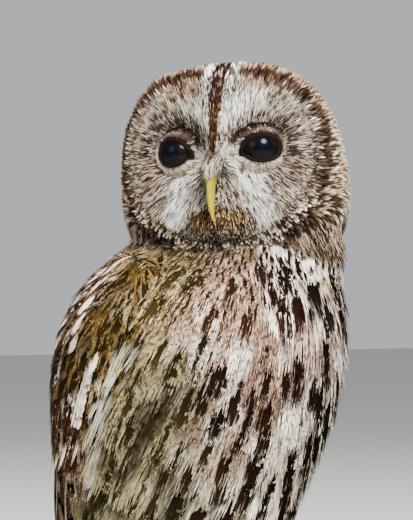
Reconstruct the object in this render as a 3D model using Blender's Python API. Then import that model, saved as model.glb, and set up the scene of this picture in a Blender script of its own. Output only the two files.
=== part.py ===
"""A tawny owl (Strix aluco), life size, standing upright with its head turned to its right.

Metres, +Z up. The body faces -Y, its left side is +X, and the floor is z = 0. The solids are the bird's
outline with its plumage on. Each form comes from stations of a few sizes up the body or from a formula,
and neighbours are cut back from one another by CLEAR, so that they meet without overlapping.
"""

import math

import bmesh
import bpy
from mathutils import Euler, Matrix, Vector

CLEAR = 0.0003  # gap left between neighbouring pieces

# Trunk and neck: height, middle (y), half-width, depth to the breast, depth to the back, and how far the
# section is turned with the head
TRUNK = [
    (0.077, 0.031, 0.012, 0.010, 0.012, 0.0),
    (0.084, 0.030, 0.030, 0.026, 0.040, 0.0),
    (0.098, 0.026, 0.043, 0.041, 0.055, 0.0),
    (0.115, 0.020, 0.0505, 0.050, 0.060, 0.0),
    (0.131, 0.0155, 0.0550, 0.0560, 0.059, 0.0),
    (0.150, 0.0105, 0.0600, 0.0605, 0.057, 0.0),
    (0.173, 0.0040, 0.0655, 0.0640, 0.055, 0.0),
    (0.194, -0.0010, 0.0675, 0.0670, 0.055, 0.0),
    (0.215, -0.0070, 0.0665, 0.0640, 0.053, 0.05),
    (0.229, -0.0105, 0.0625, 0.0580, 0.051, 0.25),
    (0.240, -0.0155, 0.0580, 0.0480, 0.050, 0.65),
    (0.2526, -0.0250, 0.0540, 0.0300, 0.048, 1.0),
    (0.262, -0.0280, 0.0420, 0.0200, 0.041, 1.0),
]
NECK_FLOOR = 0.232  # the neck begins here
NECK_TILT = math.radians(9)  # its lower edge rises towards the back

# Head, in its own frame: face towards -Y, origin at its widest level
HEAD_AT = Vector((0.0, -0.0298, 0.276))
HEAD_TURN = math.radians(-48)
HEAD_ROLL = math.radians(-2.7)
HEAD_NOD = math.radians(0.0)
HEAD_HALF_WIDTH = 0.0530
HEAD_ABOVE = 0.0630
NAPE_BELOW, FACE_BELOW = 0.0450, 0.0240
FACE_DEPTH, NAPE_DEPTH = 0.0285, 0.0490
NAPE_SQUARENESS, FACE_SQUARENESS = 2.2, 3.1  # of its outline, seen from the front
FACE_FLATNESS = 0.75
FACE_SEAM = -0.0125  # the face discs lie in front of this plane

EYE_RADIUS = 0.0105
EYE_AT = Vector((0.0186, -0.0200, 0.0215))
EYE_HOLLOW, EYE_HOLLOW_REACH = 0.0048, 0.0125
RIDGE_RISE, RIDGE_REACH, RIDGE_AT, RIDGE_HEIGHT = 0.0095, 0.0088, 0.016, 0.030
BEARD_RISE, BEARD_REACH, BEARD_AT, BEARD_HEIGHT = 0.0055, 0.0150, -0.012, 0.011

# Bill, seen from the side in the head's frame: forward (-y), height, half-width, half-depth
BILL = [
    (0.0310, 0.0125, 0.0036, 0.0040),
    (0.0378, 0.0090, 0.0038, 0.0046),
    (0.0408, 0.0030, 0.0034, 0.0042),
    (0.0408, -0.0035, 0.0026, 0.0032),
    (0.0392, -0.0078, 0.0016, 0.0020),
    (0.0374, -0.0106, 0.0006, 0.0008),
]
LOWER_BILL = [
    (0.0300, 0.0010, 0.0028, 0.0018),
    (0.0340, -0.0020, 0.0026, 0.0018),
    (0.0358, -0.0048, 0.0020, 0.0014),
    (0.0364, -0.0068, 0.0009, 0.0008),
]

# Folded wing: height, middle (y), reach to the side, reach to the back, front edge, back edge, thickness.
# The edges are angles round the body from straight ahead, in degrees.
WING = [
    (0.2500, -0.0200, 0.0530, 0.0500, 76, 118, 0.006),
    (0.2440, -0.0165, 0.0580, 0.0530, 64, 132, 0.009),
    (0.2340, -0.0110, 0.0650, 0.0570, 61, 146, 0.010),
    (0.2150, -0.0060, 0.0735, 0.0600, 66, 155, 0.010),
    (0.1900, 0.0000, 0.0742, 0.0615, 73, 161, 0.010),
    (0.1600, 0.0080, 0.0685, 0.0600, 81, 166, 0.009),
    (0.1300, 0.0170, 0.0605, 0.0620, 90, 169, 0.009),
    (0.1000, 0.0270, 0.0500, 0.0690, 101, 170, 0.008),
    (0.0750, 0.0360, 0.0400, 0.0780, 114, 169, 0.007),
    (0.0560, 0.0420, 0.0325, 0.0850, 128, 167, 0.006),
    (0.0440, 0.0460, 0.0280, 0.0880, 141, 164, 0.005),
]
WING_SEAM = 0.163  # the flight feathers show below this height at the wing's front edge
WING_SEAM_TILT = math.radians(38)
WING_EDGE = 0.40  # thickness left at its edges, as a share
WING_FRONT = 0.95  # its reach to the front, as a share of its reach to the side

# Tail: distance along it, half-width, half-thickness
TAIL_ROOT = Vector((0.0, 0.050, 0.124))
TAIL_TIP = Vector((0.0, 0.143, 0.0035))
TAIL = [
    (0.00, 0.0200, 0.0120),
    (0.25, 0.0250, 0.0090),
    (0.50, 0.0275, 0.0060),
    (0.80, 0.0305, 0.0042),
    (0.94, 0.0290, 0.0036),
    (1.00, 0.0230, 0.0030),
]
TAIL_ARCH = 0.12  # how far the tail's edges droop, as a share of its half-width
TAIL_SQUARENESS = 0.7

# Legs: points are (x, y, z, radius) on the left side
THIGH = [
    (0.0265, 0.004, 0.120, 0.0170),
    (0.0275, 0.008, 0.097, 0.0235),
    (0.0285, 0.014, 0.073, 0.0200),
    (0.0295, 0.018, 0.055, 0.0140),
    (0.0298, 0.018, 0.046, 0.0100),
]
SHANK = [
    (0.0300, 0.0185, 0.060, 0.0085),
    (0.0302, 0.0160, 0.046, 0.0098),
    (0.0306, 0.0100, 0.032, 0.0092),
    (0.0310, 0.0040, 0.019, 0.0094),
    (0.0312, 0.0010, 0.009, 0.0086),
]
FOOT_AT = Vector((0.0312, 0.0, 0.0068))
FOOT_RADII = (0.0115, 0.0120, 0.0095)
# Toe: bearing from straight ahead, outwards positive, in degrees; length; the claw's length
TOES = {
    "inner_toe": (-20, 0.0290, 0.0160),
    "middle_toe": (14, 0.0330, 0.0160),
    "outer_toe": (98, 0.0280, 0.0140),
    "hind_toe": (-166, 0.0200, 0.0145),
}
TOE_RADIUS, TOE_TIP_RADIUS = 0.0056, 0.0047
TOE_HEIGHT = 0.0045  # a toe's middle line: lower than its radius, so that the floor cuts a flat on it
TOE_JOINT = 0.0005  # swelling at the joints
CLAW_RADIUS = 0.0019
CLAW_ARCH = 0.0042
CLAW_OVERLAP = 0.0030
CLAW_ROOT_HEIGHT, CLAW_TIP_HEIGHT = 0.0046, 0.0006

# How finely each form is divided
TRUNK_RINGS, TRUNK_AROUND = 17, 28
HEAD_RINGS, HEAD_AROUND = 18, 30
EYE_AROUND, FOOT_AROUND = 14, 12
WING_RINGS, WING_ACROSS = 20, 7
TAIL_RINGS, TAIL_AROUND = 11, 14
THIGH_RINGS, THIGH_AROUND = 8, 14
SHANK_RINGS, SHANK_AROUND = 6, 10
TOE_RINGS, TOE_AROUND = 5, 8
CLAW_RINGS, CLAW_AROUND = 5, 6
BILL_RINGS, LOWER_BILL_RINGS, BILL_AROUND = 9, 5, 10

COLOURS = {
    "grey_brown_plumage": ((0.30, 0.22, 0.16), 0.85),
    "pale_plumage": ((0.62, 0.55, 0.46), 0.85),
    "face_plumage": ((0.58, 0.52, 0.46), 0.85),
    "bill_horn": ((0.72, 0.62, 0.10), 0.35),
    "claw_horn": ((0.07, 0.06, 0.055), 0.35),
    "eye": ((0.012, 0.009, 0.010), 0.05),
}


def clear_scene():
    for obj in list(bpy.data.objects):
        bpy.data.objects.remove(obj)


def make_material(name):
    colour, roughness = COLOURS[name]
    material = bpy.data.materials.new(name)
    material.use_nodes = True
    shader = material.node_tree.nodes["Principled BSDF"]
    shader.inputs["Base Color"].default_value = (*colour, 1.0)
    shader.inputs["Roughness"].default_value = roughness
    shader.inputs["Metallic"].default_value = 0.0
    return material


class Workshop:
    """The collections, the materials and the steps that all pieces share."""

    def __init__(self):
        self.parts = bpy.data.collections.new("tawny_owl")
        self.cutters = bpy.data.collections.new("cutters")
        for collection in (self.parts, self.cutters):
            bpy.context.scene.collection.children.link(collection)
        self.materials = {name: make_material(name) for name in COLOURS}

    def piece(self, name, mesh, material):
        obj = bpy.data.objects.new(name, mesh)
        mesh.materials.clear()
        mesh.materials.append(self.materials[material])
        mesh.shade_smooth()
        self.parts.objects.link(obj)
        return obj

    def cutter(self, mesh):
        obj = bpy.data.objects.new("cutter", mesh)
        obj.hide_render = True
        obj.display_type = "WIRE"
        self.cutters.objects.link(obj)
        return obj

    def combined(self, mesh, operations):
        """A new mesh: this one after each (operation, other mesh) in turn."""
        obj = self.cutter(mesh)
        for operation, other in operations:
            modifier = obj.modifiers.new(operation.lower(), "BOOLEAN")
            modifier.operation = operation
            modifier.object = self.cutter(other)
        bpy.context.view_layer.update()
        graph = bpy.context.evaluated_depsgraph_get()
        made = bpy.data.meshes.new_from_object(obj.evaluated_get(graph))
        for modifier in list(obj.modifiers):
            bpy.data.objects.remove(modifier.object)
        bpy.data.objects.remove(obj)
        return made


def mesh_of(bm, transform=None):
    if transform is not None:
        bmesh.ops.transform(bm, matrix=transform, verts=bm.verts)
    bmesh.ops.recalc_face_normals(bm, faces=bm.faces)
    mesh = bpy.data.meshes.new("shape")
    bm.to_mesh(mesh)
    bm.free()
    return mesh


def loft(rings, transform=None, banded=False):
    """A closed skin over rings of equally many points.

    An end is drawn together at its middle. The ends of a banded loft are instead closed straight across,
    each point of a ring's first half to its partner in the second half counted from the other end.
    """
    bm = bmesh.new()
    rows = [[bm.verts.new(point) for point in ring] for ring in rings]
    count = len(rings[0])
    for lower, upper in zip(rows, rows[1:]):
        for i in range(count):
            j = (i + 1) % count
            bm.faces.new((lower[i], lower[j], upper[j]))
            bm.faces.new((lower[i], upper[j], upper[i]))
    for row in (rows[0], rows[-1]):
        if banded:
            for i in range(count // 2 - 1):
                bm.faces.new((row[i], row[i + 1], row[count - 2 - i], row[count - 1 - i]))
        else:
            middle = bm.verts.new(sum((vert.co for vert in row), Vector()) / count)
            for i in range(count):
                bm.faces.new((row[i], row[(i + 1) % count], middle))
    return mesh_of(bm, transform)


def steps(first, last, count):
    return [first + (last - first) * i / (count - 1) for i in range(count)]


def at_share(stations, position):
    """The sizes on a smooth curve through the stations; position counts stations from 0."""
    last = len(stations) - 1
    i = min(int(position), last - 1)
    t = position - i
    before, a, b, after = (stations[min(max(k, 0), last)] for k in (i - 1, i, i + 1, i + 2))
    sizes = []
    for p, q, r, s in zip(before, a, b, after):
        slope_q = (r - p) / 2 if i > 0 else r - q
        slope_r = (s - q) / 2 if i < last - 1 else r - q
        sizes.append(
            (2 * t**3 - 3 * t**2 + 1) * q
            + (t**3 - 2 * t**2 + t) * slope_q
            + (3 * t**2 - 2 * t**3) * r
            + (t**3 - t**2) * slope_r
        )
    return sizes


def sampled(stations, count):
    return [at_share(stations, position) for position in steps(0, len(stations) - 1, count)]


def trunk_mesh(grow=0.0):
    """The body from between the legs up into the head."""
    rings = []
    for z, middle, half_width, breast, back, turned in sampled(TRUNK, TRUNK_RINGS):
        twist = Matrix.Rotation(HEAD_TURN * turned, 3, "Z")
        ring = []
        for turn in around(TRUNK_AROUND):
            depth = breast if math.cos(turn) > 0 else back
            reach = Vector(((half_width + grow) * math.sin(turn), -(depth + grow) * math.cos(turn), 0))
            ring.append(Vector((0, middle, z)) + twist @ reach)
        rings.append(ring)
    rings[0] = [p - Vector((0, 0, grow)) for p in rings[0]]
    rings[-1] = [p + Vector((0, 0, grow)) for p in rings[-1]]
    return loft(rings)


def around(count, start=0.0):
    return [math.tau * (k + start) / count for k in range(count)]


def half_space(at, normal, size=0.6):
    """A large box whose one face passes through a point, lying on the side that normal points to."""
    bm = bmesh.new()
    bmesh.ops.create_cube(bm, size=size)
    bmesh.ops.translate(bm, vec=(0, 0, size / 2), verts=bm.verts)
    turn = Vector(normal).to_track_quat("Z", "Y").to_matrix().to_4x4()
    return mesh_of(bm, Matrix.Translation(at) @ turn)


def head_frame():
    turn = Matrix.Rotation(HEAD_TURN, 4, "Z")
    tilt = Euler((HEAD_NOD, HEAD_ROLL, 0)).to_matrix().to_4x4()
    return Matrix.Translation(HEAD_AT) @ turn @ tilt


def head_outline(turn, forward):
    """Reach of the head, seen from the front, at an angle from its left side towards its crown.

    forward runs from -1 at the nape to 1 at the middle of the face.
    """
    share = min(1.0, max(0.0, 0.5 + 1.5 * forward))
    squareness = NAPE_SQUARENESS + (FACE_SQUARENESS - NAPE_SQUARENESS) * share
    below = NAPE_BELOW + (FACE_BELOW - NAPE_BELOW) * share
    across = abs(math.cos(turn)) / HEAD_HALF_WIDTH
    up = abs(math.sin(turn)) / (HEAD_ABOVE if math.sin(turn) > 0 else below)
    return (across**squareness + up**squareness) ** (-1 / squareness)


def bump(distance, reach):
    return math.exp(-((distance / reach) ** 2))


def face_relief(x, z):
    """How far the face stands forward of its plain curve: the brow and bill's ridge, the beard, the eye hollows."""
    hollow = bump(math.hypot(abs(x) - EYE_AT.x, z - EYE_AT.z), EYE_HOLLOW_REACH)
    ridge = bump(x, RIDGE_REACH) * bump(z - RIDGE_AT, RIDGE_HEIGHT)
    beard = bump(x, BEARD_REACH) * bump(z - BEARD_AT, BEARD_HEIGHT)
    return RIDGE_RISE * ridge + BEARD_RISE * beard * (1 - ridge) - EYE_HOLLOW * hollow


def head_mesh(grow=0.0):
    """The whole head: concentric rings from the middle of the face back to the nape."""
    rings = []
    for polar in steps(math.radians(5), math.radians(175), HEAD_RINGS):
        forward = math.cos(polar)
        flatness = FACE_FLATNESS if forward > 0 else 1.0
        spread = math.sin(polar) ** flatness
        depth = abs(forward) ** (flatness if forward > 0 else 0.92)
        ring = []
        for turn in around(HEAD_AROUND):
            reach = (head_outline(turn, forward) + grow) * spread
            x, z = reach * math.cos(turn), reach * math.sin(turn)
            if forward > 0:
                y = -(FACE_DEPTH + grow) * depth - face_relief(x, z) * min(1.0, 2.2 * forward)
            else:
                y = (NAPE_DEPTH + grow) * depth
            ring.append(Vector((x, y, z)))
        rings.append(ring)
    return loft(rings, head_frame())


def ball(radii, at, segments, transform=None):
    bm = bmesh.new()
    bmesh.ops.create_uvsphere(bm, u_segments=segments, v_segments=segments // 2, radius=1.0)
    bmesh.ops.scale(bm, vec=radii, verts=bm.verts)
    bmesh.ops.translate(bm, vec=at, verts=bm.verts)
    return mesh_of(bm, transform)


def eye_ball(side, grow=0.0):
    at = Vector((side * EYE_AT.x, EYE_AT.y, EYE_AT.z))
    return ball([EYE_RADIUS + grow] * 3, at, EYE_AROUND, head_frame())


def tube(points, radii, segments, reference):
    """A round limb through points; reference is a direction that the limb never takes."""
    rings = []
    for i, point in enumerate(points):
        ahead = points[min(i + 1, len(points) - 1)] - points[max(i - 1, 0)]
        side = Vector(reference).cross(ahead).normalized()
        up = ahead.normalized().cross(side)
        rings.append([
            point + radii[i] * (side * math.cos(a) + up * math.sin(a)) for a in around(segments)
        ])
    return loft(rings)


def limb_mesh(stations, side, segments, rings, grow=0.0):
    """A leg length from (x, y, z, radius) stations, for the left (side 1) or the right (side -1)."""
    line = sampled(stations, rings)
    points = [Vector((side * x, y, z)) for x, y, z, _ in line]
    return tube(points, [radius + grow for *_, radius in line], segments, (1, 0, 0))


def bill_mesh(stations, rings, grow=0.0):
    line = sampled(stations, rings)
    sideways = Vector((1, 0, 0))
    sections = []
    for i, (forward, height, half_width, half_depth) in enumerate(line):
        ahead, behind = line[min(i + 1, rings - 1)], line[max(i - 1, 0)]
        along = Vector((0, behind[0] - ahead[0], ahead[1] - behind[1])).normalized()
        outward = along.cross(sideways)
        sections.append([
            Vector((0, -forward, height))
            + sideways * (half_width + grow) * math.cos(a)
            + outward * (half_depth + grow) * math.sin(a)
            for a in around(BILL_AROUND)
        ])
    return loft(sections, head_frame())


def wing_mesh(side, grow=0.0):
    """A folded wing: a curved band round the flank, thickest in the middle, narrowing to the wing tip."""
    rings = []
    for z, middle, reach_x, reach_y, front, back, thickness in sampled(WING, WING_RINGS):
        outer, inner = [], []
        for share in steps(0, 1, WING_ACROSS):
            turn = math.radians(front + (back - front) * share)
            rim = (1 - abs(2 * share - 1) ** 2.4) ** 0.6
            drop = thickness * (1 - WING_EDGE) * (1 - rim)
            depth = reach_y if math.cos(turn) < 0 else WING_FRONT * reach_x
            for points, push in ((outer, grow - drop), (inner, -thickness - grow)):
                x = (reach_x + push) * math.sin(turn)
                points.append(Vector((side * x, middle - (depth + push) * math.cos(turn), z)))
        rings.append(outer + inner[::-1])
    return loft(rings, banded=True)


def tail_mesh(grow=0.0):
    along = (TAIL_TIP - TAIL_ROOT).normalized()
    up = along.cross(Vector((-1, 0, 0)))
    rings = []
    for share, half_width, half_thick in sampled(TAIL, TAIL_RINGS):
        ring = []
        for a in around(TAIL_AROUND, 0.5):
            across = math.copysign(abs(math.cos(a)) ** TAIL_SQUARENESS, math.cos(a))
            rise = math.copysign(abs(math.sin(a)) ** TAIL_SQUARENESS, math.sin(a)) * (half_thick + grow)
            rise -= TAIL_ARCH * half_width * across**2
            middle = TAIL_ROOT.lerp(TAIL_TIP, share)
            ring.append(middle + Vector(((half_width + grow) * across, 0, 0)) + up * rise)
        rings.append(ring)
    return loft(rings, banded=True)


def toe_line(side, bearing):
    """Where a toe starts, on the floor, and the way it points."""
    turn = math.radians(bearing)
    return Vector((side * FOOT_AT.x, FOOT_AT.y, 0)), Vector((side * math.sin(turn), -math.cos(turn), 0))


def toe_mesh(side, bearing, length, grow=0.0):
    start, ahead = toe_line(side, bearing)
    points, radii = [], []
    for share in steps(0.12, 1, TOE_RINGS):
        joint = TOE_JOINT * math.cos(share * math.tau * 1.5)
        taper = TOE_RADIUS + (TOE_TIP_RADIUS - TOE_RADIUS) * share + joint
        points.append(start + ahead * (length * share) + Vector((0, 0, TOE_HEIGHT)))
        radii.append(taper * (0.6 if share == 1 else 1.0) + grow)
    return tube(points, radii, TOE_AROUND, (0, 0, 1))


def claw_mesh(side, bearing, length, claw):
    """A horn hook that rises out of the toe's end and comes down to the floor."""
    start, ahead = toe_line(side, bearing)
    points, radii = [], []
    for share in steps(0, 1, CLAW_RINGS):
        out = length - CLAW_OVERLAP + claw * math.sin(share * math.radians(86))
        height = CLAW_ROOT_HEIGHT * (1 - share**1.5) + CLAW_ARCH * math.sin(share * math.pi) * (1 - share)
        points.append(start + ahead * out + Vector((0, 0, height + CLAW_TIP_HEIGHT)))
        radii.append(CLAW_RADIUS * (1 - 0.82 * share))
    return tube(points, radii, CLAW_AROUND, (0, 0, 1))


def grown_bills():
    return [
        ("DIFFERENCE", bill_mesh(BILL, BILL_RINGS, CLEAR)),
        ("DIFFERENCE", bill_mesh(LOWER_BILL, LOWER_BILL_RINGS, CLEAR)),
    ]


def build_body(shop):
    """Trunk and neck, parted by a thin slanting cut. The head sits in the neck's hollow."""
    seam = Vector((0, 0, NECK_FLOOR))
    above = Vector((0, -math.sin(NECK_TILT), math.cos(NECK_TILT)))
    thighs = [("DIFFERENCE", limb_mesh(THIGH, side, THIGH_AROUND, THIGH_RINGS, CLEAR)) for side in (1, -1)]
    trunk = shop.combined(
        trunk_mesh(),
        [
            ("INTERSECT", half_space(seam, -above)),
            ("DIFFERENCE", head_mesh(CLEAR)),
            ("DIFFERENCE", tail_mesh(CLEAR)),
            *thighs,
        ],
    )
    shop.piece("trunk", trunk, "pale_plumage")
    neck = shop.combined(
        trunk_mesh(),
        [
            ("INTERSECT", half_space(seam + above * CLEAR, above)),
            ("DIFFERENCE", head_mesh(CLEAR)),
            *grown_bills(),
        ],
    )
    shop.piece("neck", neck, "pale_plumage")


def build_head(shop):
    frame = head_frame()
    forward = frame.to_3x3() @ Vector((0, -1, 0))
    left = frame.to_3x3() @ Vector((1, 0, 0))
    seam = frame @ Vector((0, FACE_SEAM, 0))
    socket = {side: eye_ball(side, CLEAR) for side in (1, -1)}
    skull = shop.combined(
        head_mesh(),
        [
            ("INTERSECT", half_space(seam - forward * CLEAR, -forward)),
            *(("DIFFERENCE", ball_mesh) for ball_mesh in socket.values()),
            *grown_bills(),
        ],
    )
    shop.piece("head", skull, "grey_brown_plumage")
    for side, name in ((1, "left"), (-1, "right")):
        middle = frame @ Vector((side * CLEAR / 2, 0, 0))
        disc = shop.combined(
            head_mesh(),
            [
                ("INTERSECT", half_space(seam, forward)),
                ("INTERSECT", half_space(middle, left * side)),
                ("DIFFERENCE", socket[side]),
                *grown_bills(),
            ],
        )
        shop.piece(f"face_disc_{name}", disc, "face_plumage")
        shop.piece(f"eye_{name}", eye_ball(side), "eye")
    shop.piece("bill_upper", bill_mesh(BILL, BILL_RINGS), "bill_horn")
    lower = shop.combined(
        bill_mesh(LOWER_BILL, LOWER_BILL_RINGS),
        [("DIFFERENCE", bill_mesh(BILL, BILL_RINGS, CLEAR))],
    )
    shop.piece("bill_lower", lower, "bill_horn")


def build_wings(shop):
    for side, name in ((1, "left"), (-1, "right")):
        normal = Vector((0, math.sin(WING_SEAM_TILT), math.cos(WING_SEAM_TILT)))
        seam = Vector((0, 0, WING_SEAM))
        carved = [
            ("DIFFERENCE", trunk_mesh(CLEAR)),
            ("DIFFERENCE", tail_mesh(CLEAR)),
            ("DIFFERENCE", head_mesh(CLEAR)),
        ]
        upper = shop.combined(
            wing_mesh(side), [("INTERSECT", half_space(seam + normal * CLEAR, normal)), *carved]
        )
        shop.piece(f"wing_{name}", upper, "grey_brown_plumage")
        lower = shop.combined(wing_mesh(side), [("INTERSECT", half_space(seam, -normal)), *carved])
        shop.piece(f"flight_feathers_{name}", lower, "grey_brown_plumage")


def build_tail(shop):
    floor = half_space(Vector((0, 0, 0)), (0, 0, 1))
    shop.piece("tail", shop.combined(tail_mesh(), [("INTERSECT", floor)]), "grey_brown_plumage")


def build_legs(shop):
    above_floor = ("INTERSECT", half_space(Vector((0, 0, 0)), (0, 0, 1)))
    for side, name in ((1, "left"), (-1, "right")):
        foot_at = Vector((side * FOOT_AT.x, FOOT_AT.y, FOOT_AT.z))
        grown_foot = ("DIFFERENCE", ball([r + CLEAR for r in FOOT_RADII], foot_at, FOOT_AROUND))
        shop.piece(f"thigh_{name}", limb_mesh(THIGH, side, THIGH_AROUND, THIGH_RINGS), "pale_plumage")
        shank = shop.combined(
            limb_mesh(SHANK, side, SHANK_AROUND, SHANK_RINGS),
            [("DIFFERENCE", limb_mesh(THIGH, side, THIGH_AROUND, THIGH_RINGS, CLEAR)), grown_foot],
        )
        shop.piece(f"shank_{name}", shank, "pale_plumage")
        foot = shop.combined(ball(FOOT_RADII, foot_at, FOOT_AROUND), [above_floor])
        shop.piece(f"foot_{name}", foot, "pale_plumage")
        for toe, (bearing, length, claw) in TOES.items():
            others = [
                ("DIFFERENCE", toe_mesh(side, *TOES[other][:2], CLEAR))
                for other in list(TOES)[: list(TOES).index(toe)]
            ]
            shape = shop.combined(
                toe_mesh(side, bearing, length), [above_floor, grown_foot, *others]
            )
            shop.piece(f"{toe}_{name}", shape, "pale_plumage")
            horn = shop.combined(
                claw_mesh(side, bearing, length, claw),
                [above_floor, ("DIFFERENCE", toe_mesh(side, bearing, length, CLEAR))],
            )
            shop.piece(f"{toe}_claw_{name}", horn, "claw_horn")


def centre_on_origin(shop):
    """Puts the middle of the owl's plan over the origin."""
    corners = [Vector(c) for obj in shop.parts.objects for c in obj.bound_box]
    middle = [(min(c[k] for c in corners) + max(c[k] for c in corners)) / 2 for k in (0, 1)]
    for obj in shop.parts.objects:
        obj.data.transform(Matrix.Translation((-middle[0], -middle[1], 0)))


def main():
    clear_scene()
    shop = Workshop()
    build_body(shop)
    build_head(shop)
    build_wings(shop)
    build_tail(shop)
    build_legs(shop)
    centre_on_origin(shop)


main()
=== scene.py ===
"""Tawny owl, standing still: skin, plumage, eyes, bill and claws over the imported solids."""
import math

import bpy
import numpy as np
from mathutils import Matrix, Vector
from mathutils.bvhtree import BVHTree
from mathutils.kdtree import KDTree


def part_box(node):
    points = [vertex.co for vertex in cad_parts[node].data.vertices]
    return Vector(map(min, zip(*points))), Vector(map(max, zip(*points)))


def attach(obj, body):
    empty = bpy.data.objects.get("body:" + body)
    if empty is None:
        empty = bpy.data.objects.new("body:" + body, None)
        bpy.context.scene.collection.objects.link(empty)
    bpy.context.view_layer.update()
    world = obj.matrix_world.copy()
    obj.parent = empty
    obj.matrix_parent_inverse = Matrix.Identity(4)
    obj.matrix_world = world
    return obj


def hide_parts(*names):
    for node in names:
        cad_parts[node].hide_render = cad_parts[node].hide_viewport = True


MM = 0.001
BODY = "root"
VOXEL = 1.5 * MM
PATCH = 0.003                # one feather's size on the skin's map
PIECE_LIMIT = 190000         # triangles in one coat piece
SIDES = {"left": 1.0, "right": -1.0}
TOES = ("inner", "middle", "outer", "hind")

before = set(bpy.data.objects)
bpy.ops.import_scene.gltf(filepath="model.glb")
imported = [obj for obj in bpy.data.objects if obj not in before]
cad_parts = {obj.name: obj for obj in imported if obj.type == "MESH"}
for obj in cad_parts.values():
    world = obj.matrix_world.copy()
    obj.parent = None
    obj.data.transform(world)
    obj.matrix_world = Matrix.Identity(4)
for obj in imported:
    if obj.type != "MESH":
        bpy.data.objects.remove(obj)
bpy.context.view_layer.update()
rng = np.random.default_rng(20)


# ---------------------------------------------------------------- small tools

def unit(vectors):
    return vectors / np.maximum(np.linalg.norm(vectors, axis=-1, keepdims=True), 1e-12)


def step(values, low, high):
    """0 below low, 1 above high, smooth between; low may be the greater."""
    share = np.clip((values - low) / (high - low), 0, 1)
    return share * share * (3 - 2 * share)


def rgb(red, green, blue):
    """A colour named on the usual 0-255 scale, made linear."""
    shade = np.array([red, green, blue]) / 255
    return np.where(shade <= 0.04045, shade / 12.92, ((shade + 0.055) / 1.055) ** 2.4)


def noise(points, size, seed=0):
    """Smooth random values from 0 to 1, about one lump per size."""
    place = points / size + seed * 7.31
    cell = np.floor(place).astype(np.int64)
    share = place - cell
    share = share * share * (3 - 2 * share)
    total = np.zeros(len(points))
    for corner in range(8):
        offset = np.array([corner >> axis & 1 for axis in range(3)])
        x, y, z = (cell + offset).T
        mixed = (x * 73856093) ^ (y * 19349663) ^ (z * 83492791) ^ (seed * 2971215073)
        mixed = (mixed ^ (mixed >> 13)) * 1274126177
        value = ((mixed ^ (mixed >> 16)) & 0xFFFF) / 65535
        total += np.prod(np.where(offset, share, 1 - share), axis=1) * value
    return total


def tint(base, other, amount):
    """Rows of colour taken from base towards other by amount."""
    return base + (other - base) * np.asarray(amount)[..., None]


def read(items, name, width, kind=float):
    values = np.empty(len(items) * width, kind)
    items.foreach_get(name, values)
    return values.reshape(-1, width) if width > 1 else values


def new_mesh(name, points, triangles):
    mesh = bpy.data.meshes.new(name)
    count = len(triangles)
    mesh.vertices.add(len(points))
    mesh.vertices.foreach_set("co", np.asarray(points, np.float32).ravel())
    mesh.loops.add(count * 3)
    mesh.loops.foreach_set("vertex_index", np.asarray(triangles, np.int32).ravel())
    mesh.polygons.add(count)
    mesh.polygons.foreach_set("loop_start", np.arange(count, dtype=np.int32) * 3)
    mesh.update(calc_edges=True)
    return mesh


def put_attribute(mesh, name, values):
    values = np.asarray(values, np.float32)
    kind, key = ("FLOAT_VECTOR", "vector")
    if values.ndim == 1:
        kind, key = ("FLOAT", "value")
    mesh.attributes.new(name, kind, "POINT").data.foreach_set(key, values.ravel())


def placed(name, data):
    """A new object in the scene."""
    thing = bpy.data.objects.new(name, data)
    bpy.context.scene.collection.objects.link(thing)
    return thing


def modify(thing, kind, **settings):
    modifier = thing.modifiers.new(kind, kind)
    for key, value in settings.items():
        setattr(modifier, key, value)


def evaluated(thing):
    """The object's mesh with its modifiers applied."""
    graph = bpy.context.evaluated_depsgraph_get()
    return bpy.data.meshes.new_from_object(thing.evaluated_get(graph))


def stand_for(piece, slot, *nodes):
    """Makes a piece ride on the body and stand for its nodes."""
    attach(piece, BODY)
    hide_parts(*nodes)


def show(name, mesh, material, slot, nodes):
    """A finished piece in the scene."""
    piece = placed(name, mesh)
    mesh.materials.append(material)
    stand_for(piece, slot, *nodes)
    return piece


# ---------------------------------------------------------------- the skin

FIRM = [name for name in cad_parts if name.startswith(("eye_", "bill_")) or "_claw_" in name]
FLESH = [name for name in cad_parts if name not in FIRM]
COAT_DEPTH = {               # how far the skin lies inside the plumage, by the node's first word
    "head": 2.6, "face": 1.5, "neck": 4.2, "trunk": 4.6, "wing": 2.2, "flight": 1.3, "tail": 1.0,
    "thigh": 3.4, "shank": 2.0, "foot": 1.2, "inner": 0.8, "middle": 0.8, "outer": 0.8, "hind": 0.8,
}
KIND_OF = np.array([name.split("_")[0] for name in FLESH])
HEAD_KINDS, WING_KINDS, TRUNK_KINDS = ("head", "face"), ("wing", "flight"), ("trunk", "neck", "thigh")
LEG_KINDS = ("shank", "foot") + TOES
BODY_KINDS = TRUNK_KINDS + LEG_KINDS + ("tail",)


def flesh_solids():
    """Points, triangles and node numbers of every flesh node."""
    points, triangles, owners = [], [], []
    start = 0
    for number, name in enumerate(FLESH):
        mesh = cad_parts[name].data
        mesh.calc_loop_triangles()
        points.append(read(mesh.vertices, "co", 3))
        triangles.append(read(mesh.loop_triangles, "vertices", 3, np.int32) + start)
        owners += [number] * len(mesh.loop_triangles)
        start += len(mesh.vertices)
    return np.concatenate(points), np.concatenate(triangles), np.array(owners)


def remeshed(points, triangles):
    """One closed surface over all the solids."""
    source = placed("remesh", new_mesh("remesh", points, triangles))
    modify(source, "REMESH", mode="VOXEL", voxel_size=VOXEL)
    mesh = evaluated(source)
    bpy.data.objects.remove(source)
    mesh.calc_loop_triangles()
    points = read(mesh.vertices, "co", 3)
    triangles = read(mesh.loop_triangles, "vertices", 3, np.int32)
    bpy.data.meshes.remove(mesh)
    return biggest_part(points, triangles)


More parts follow.
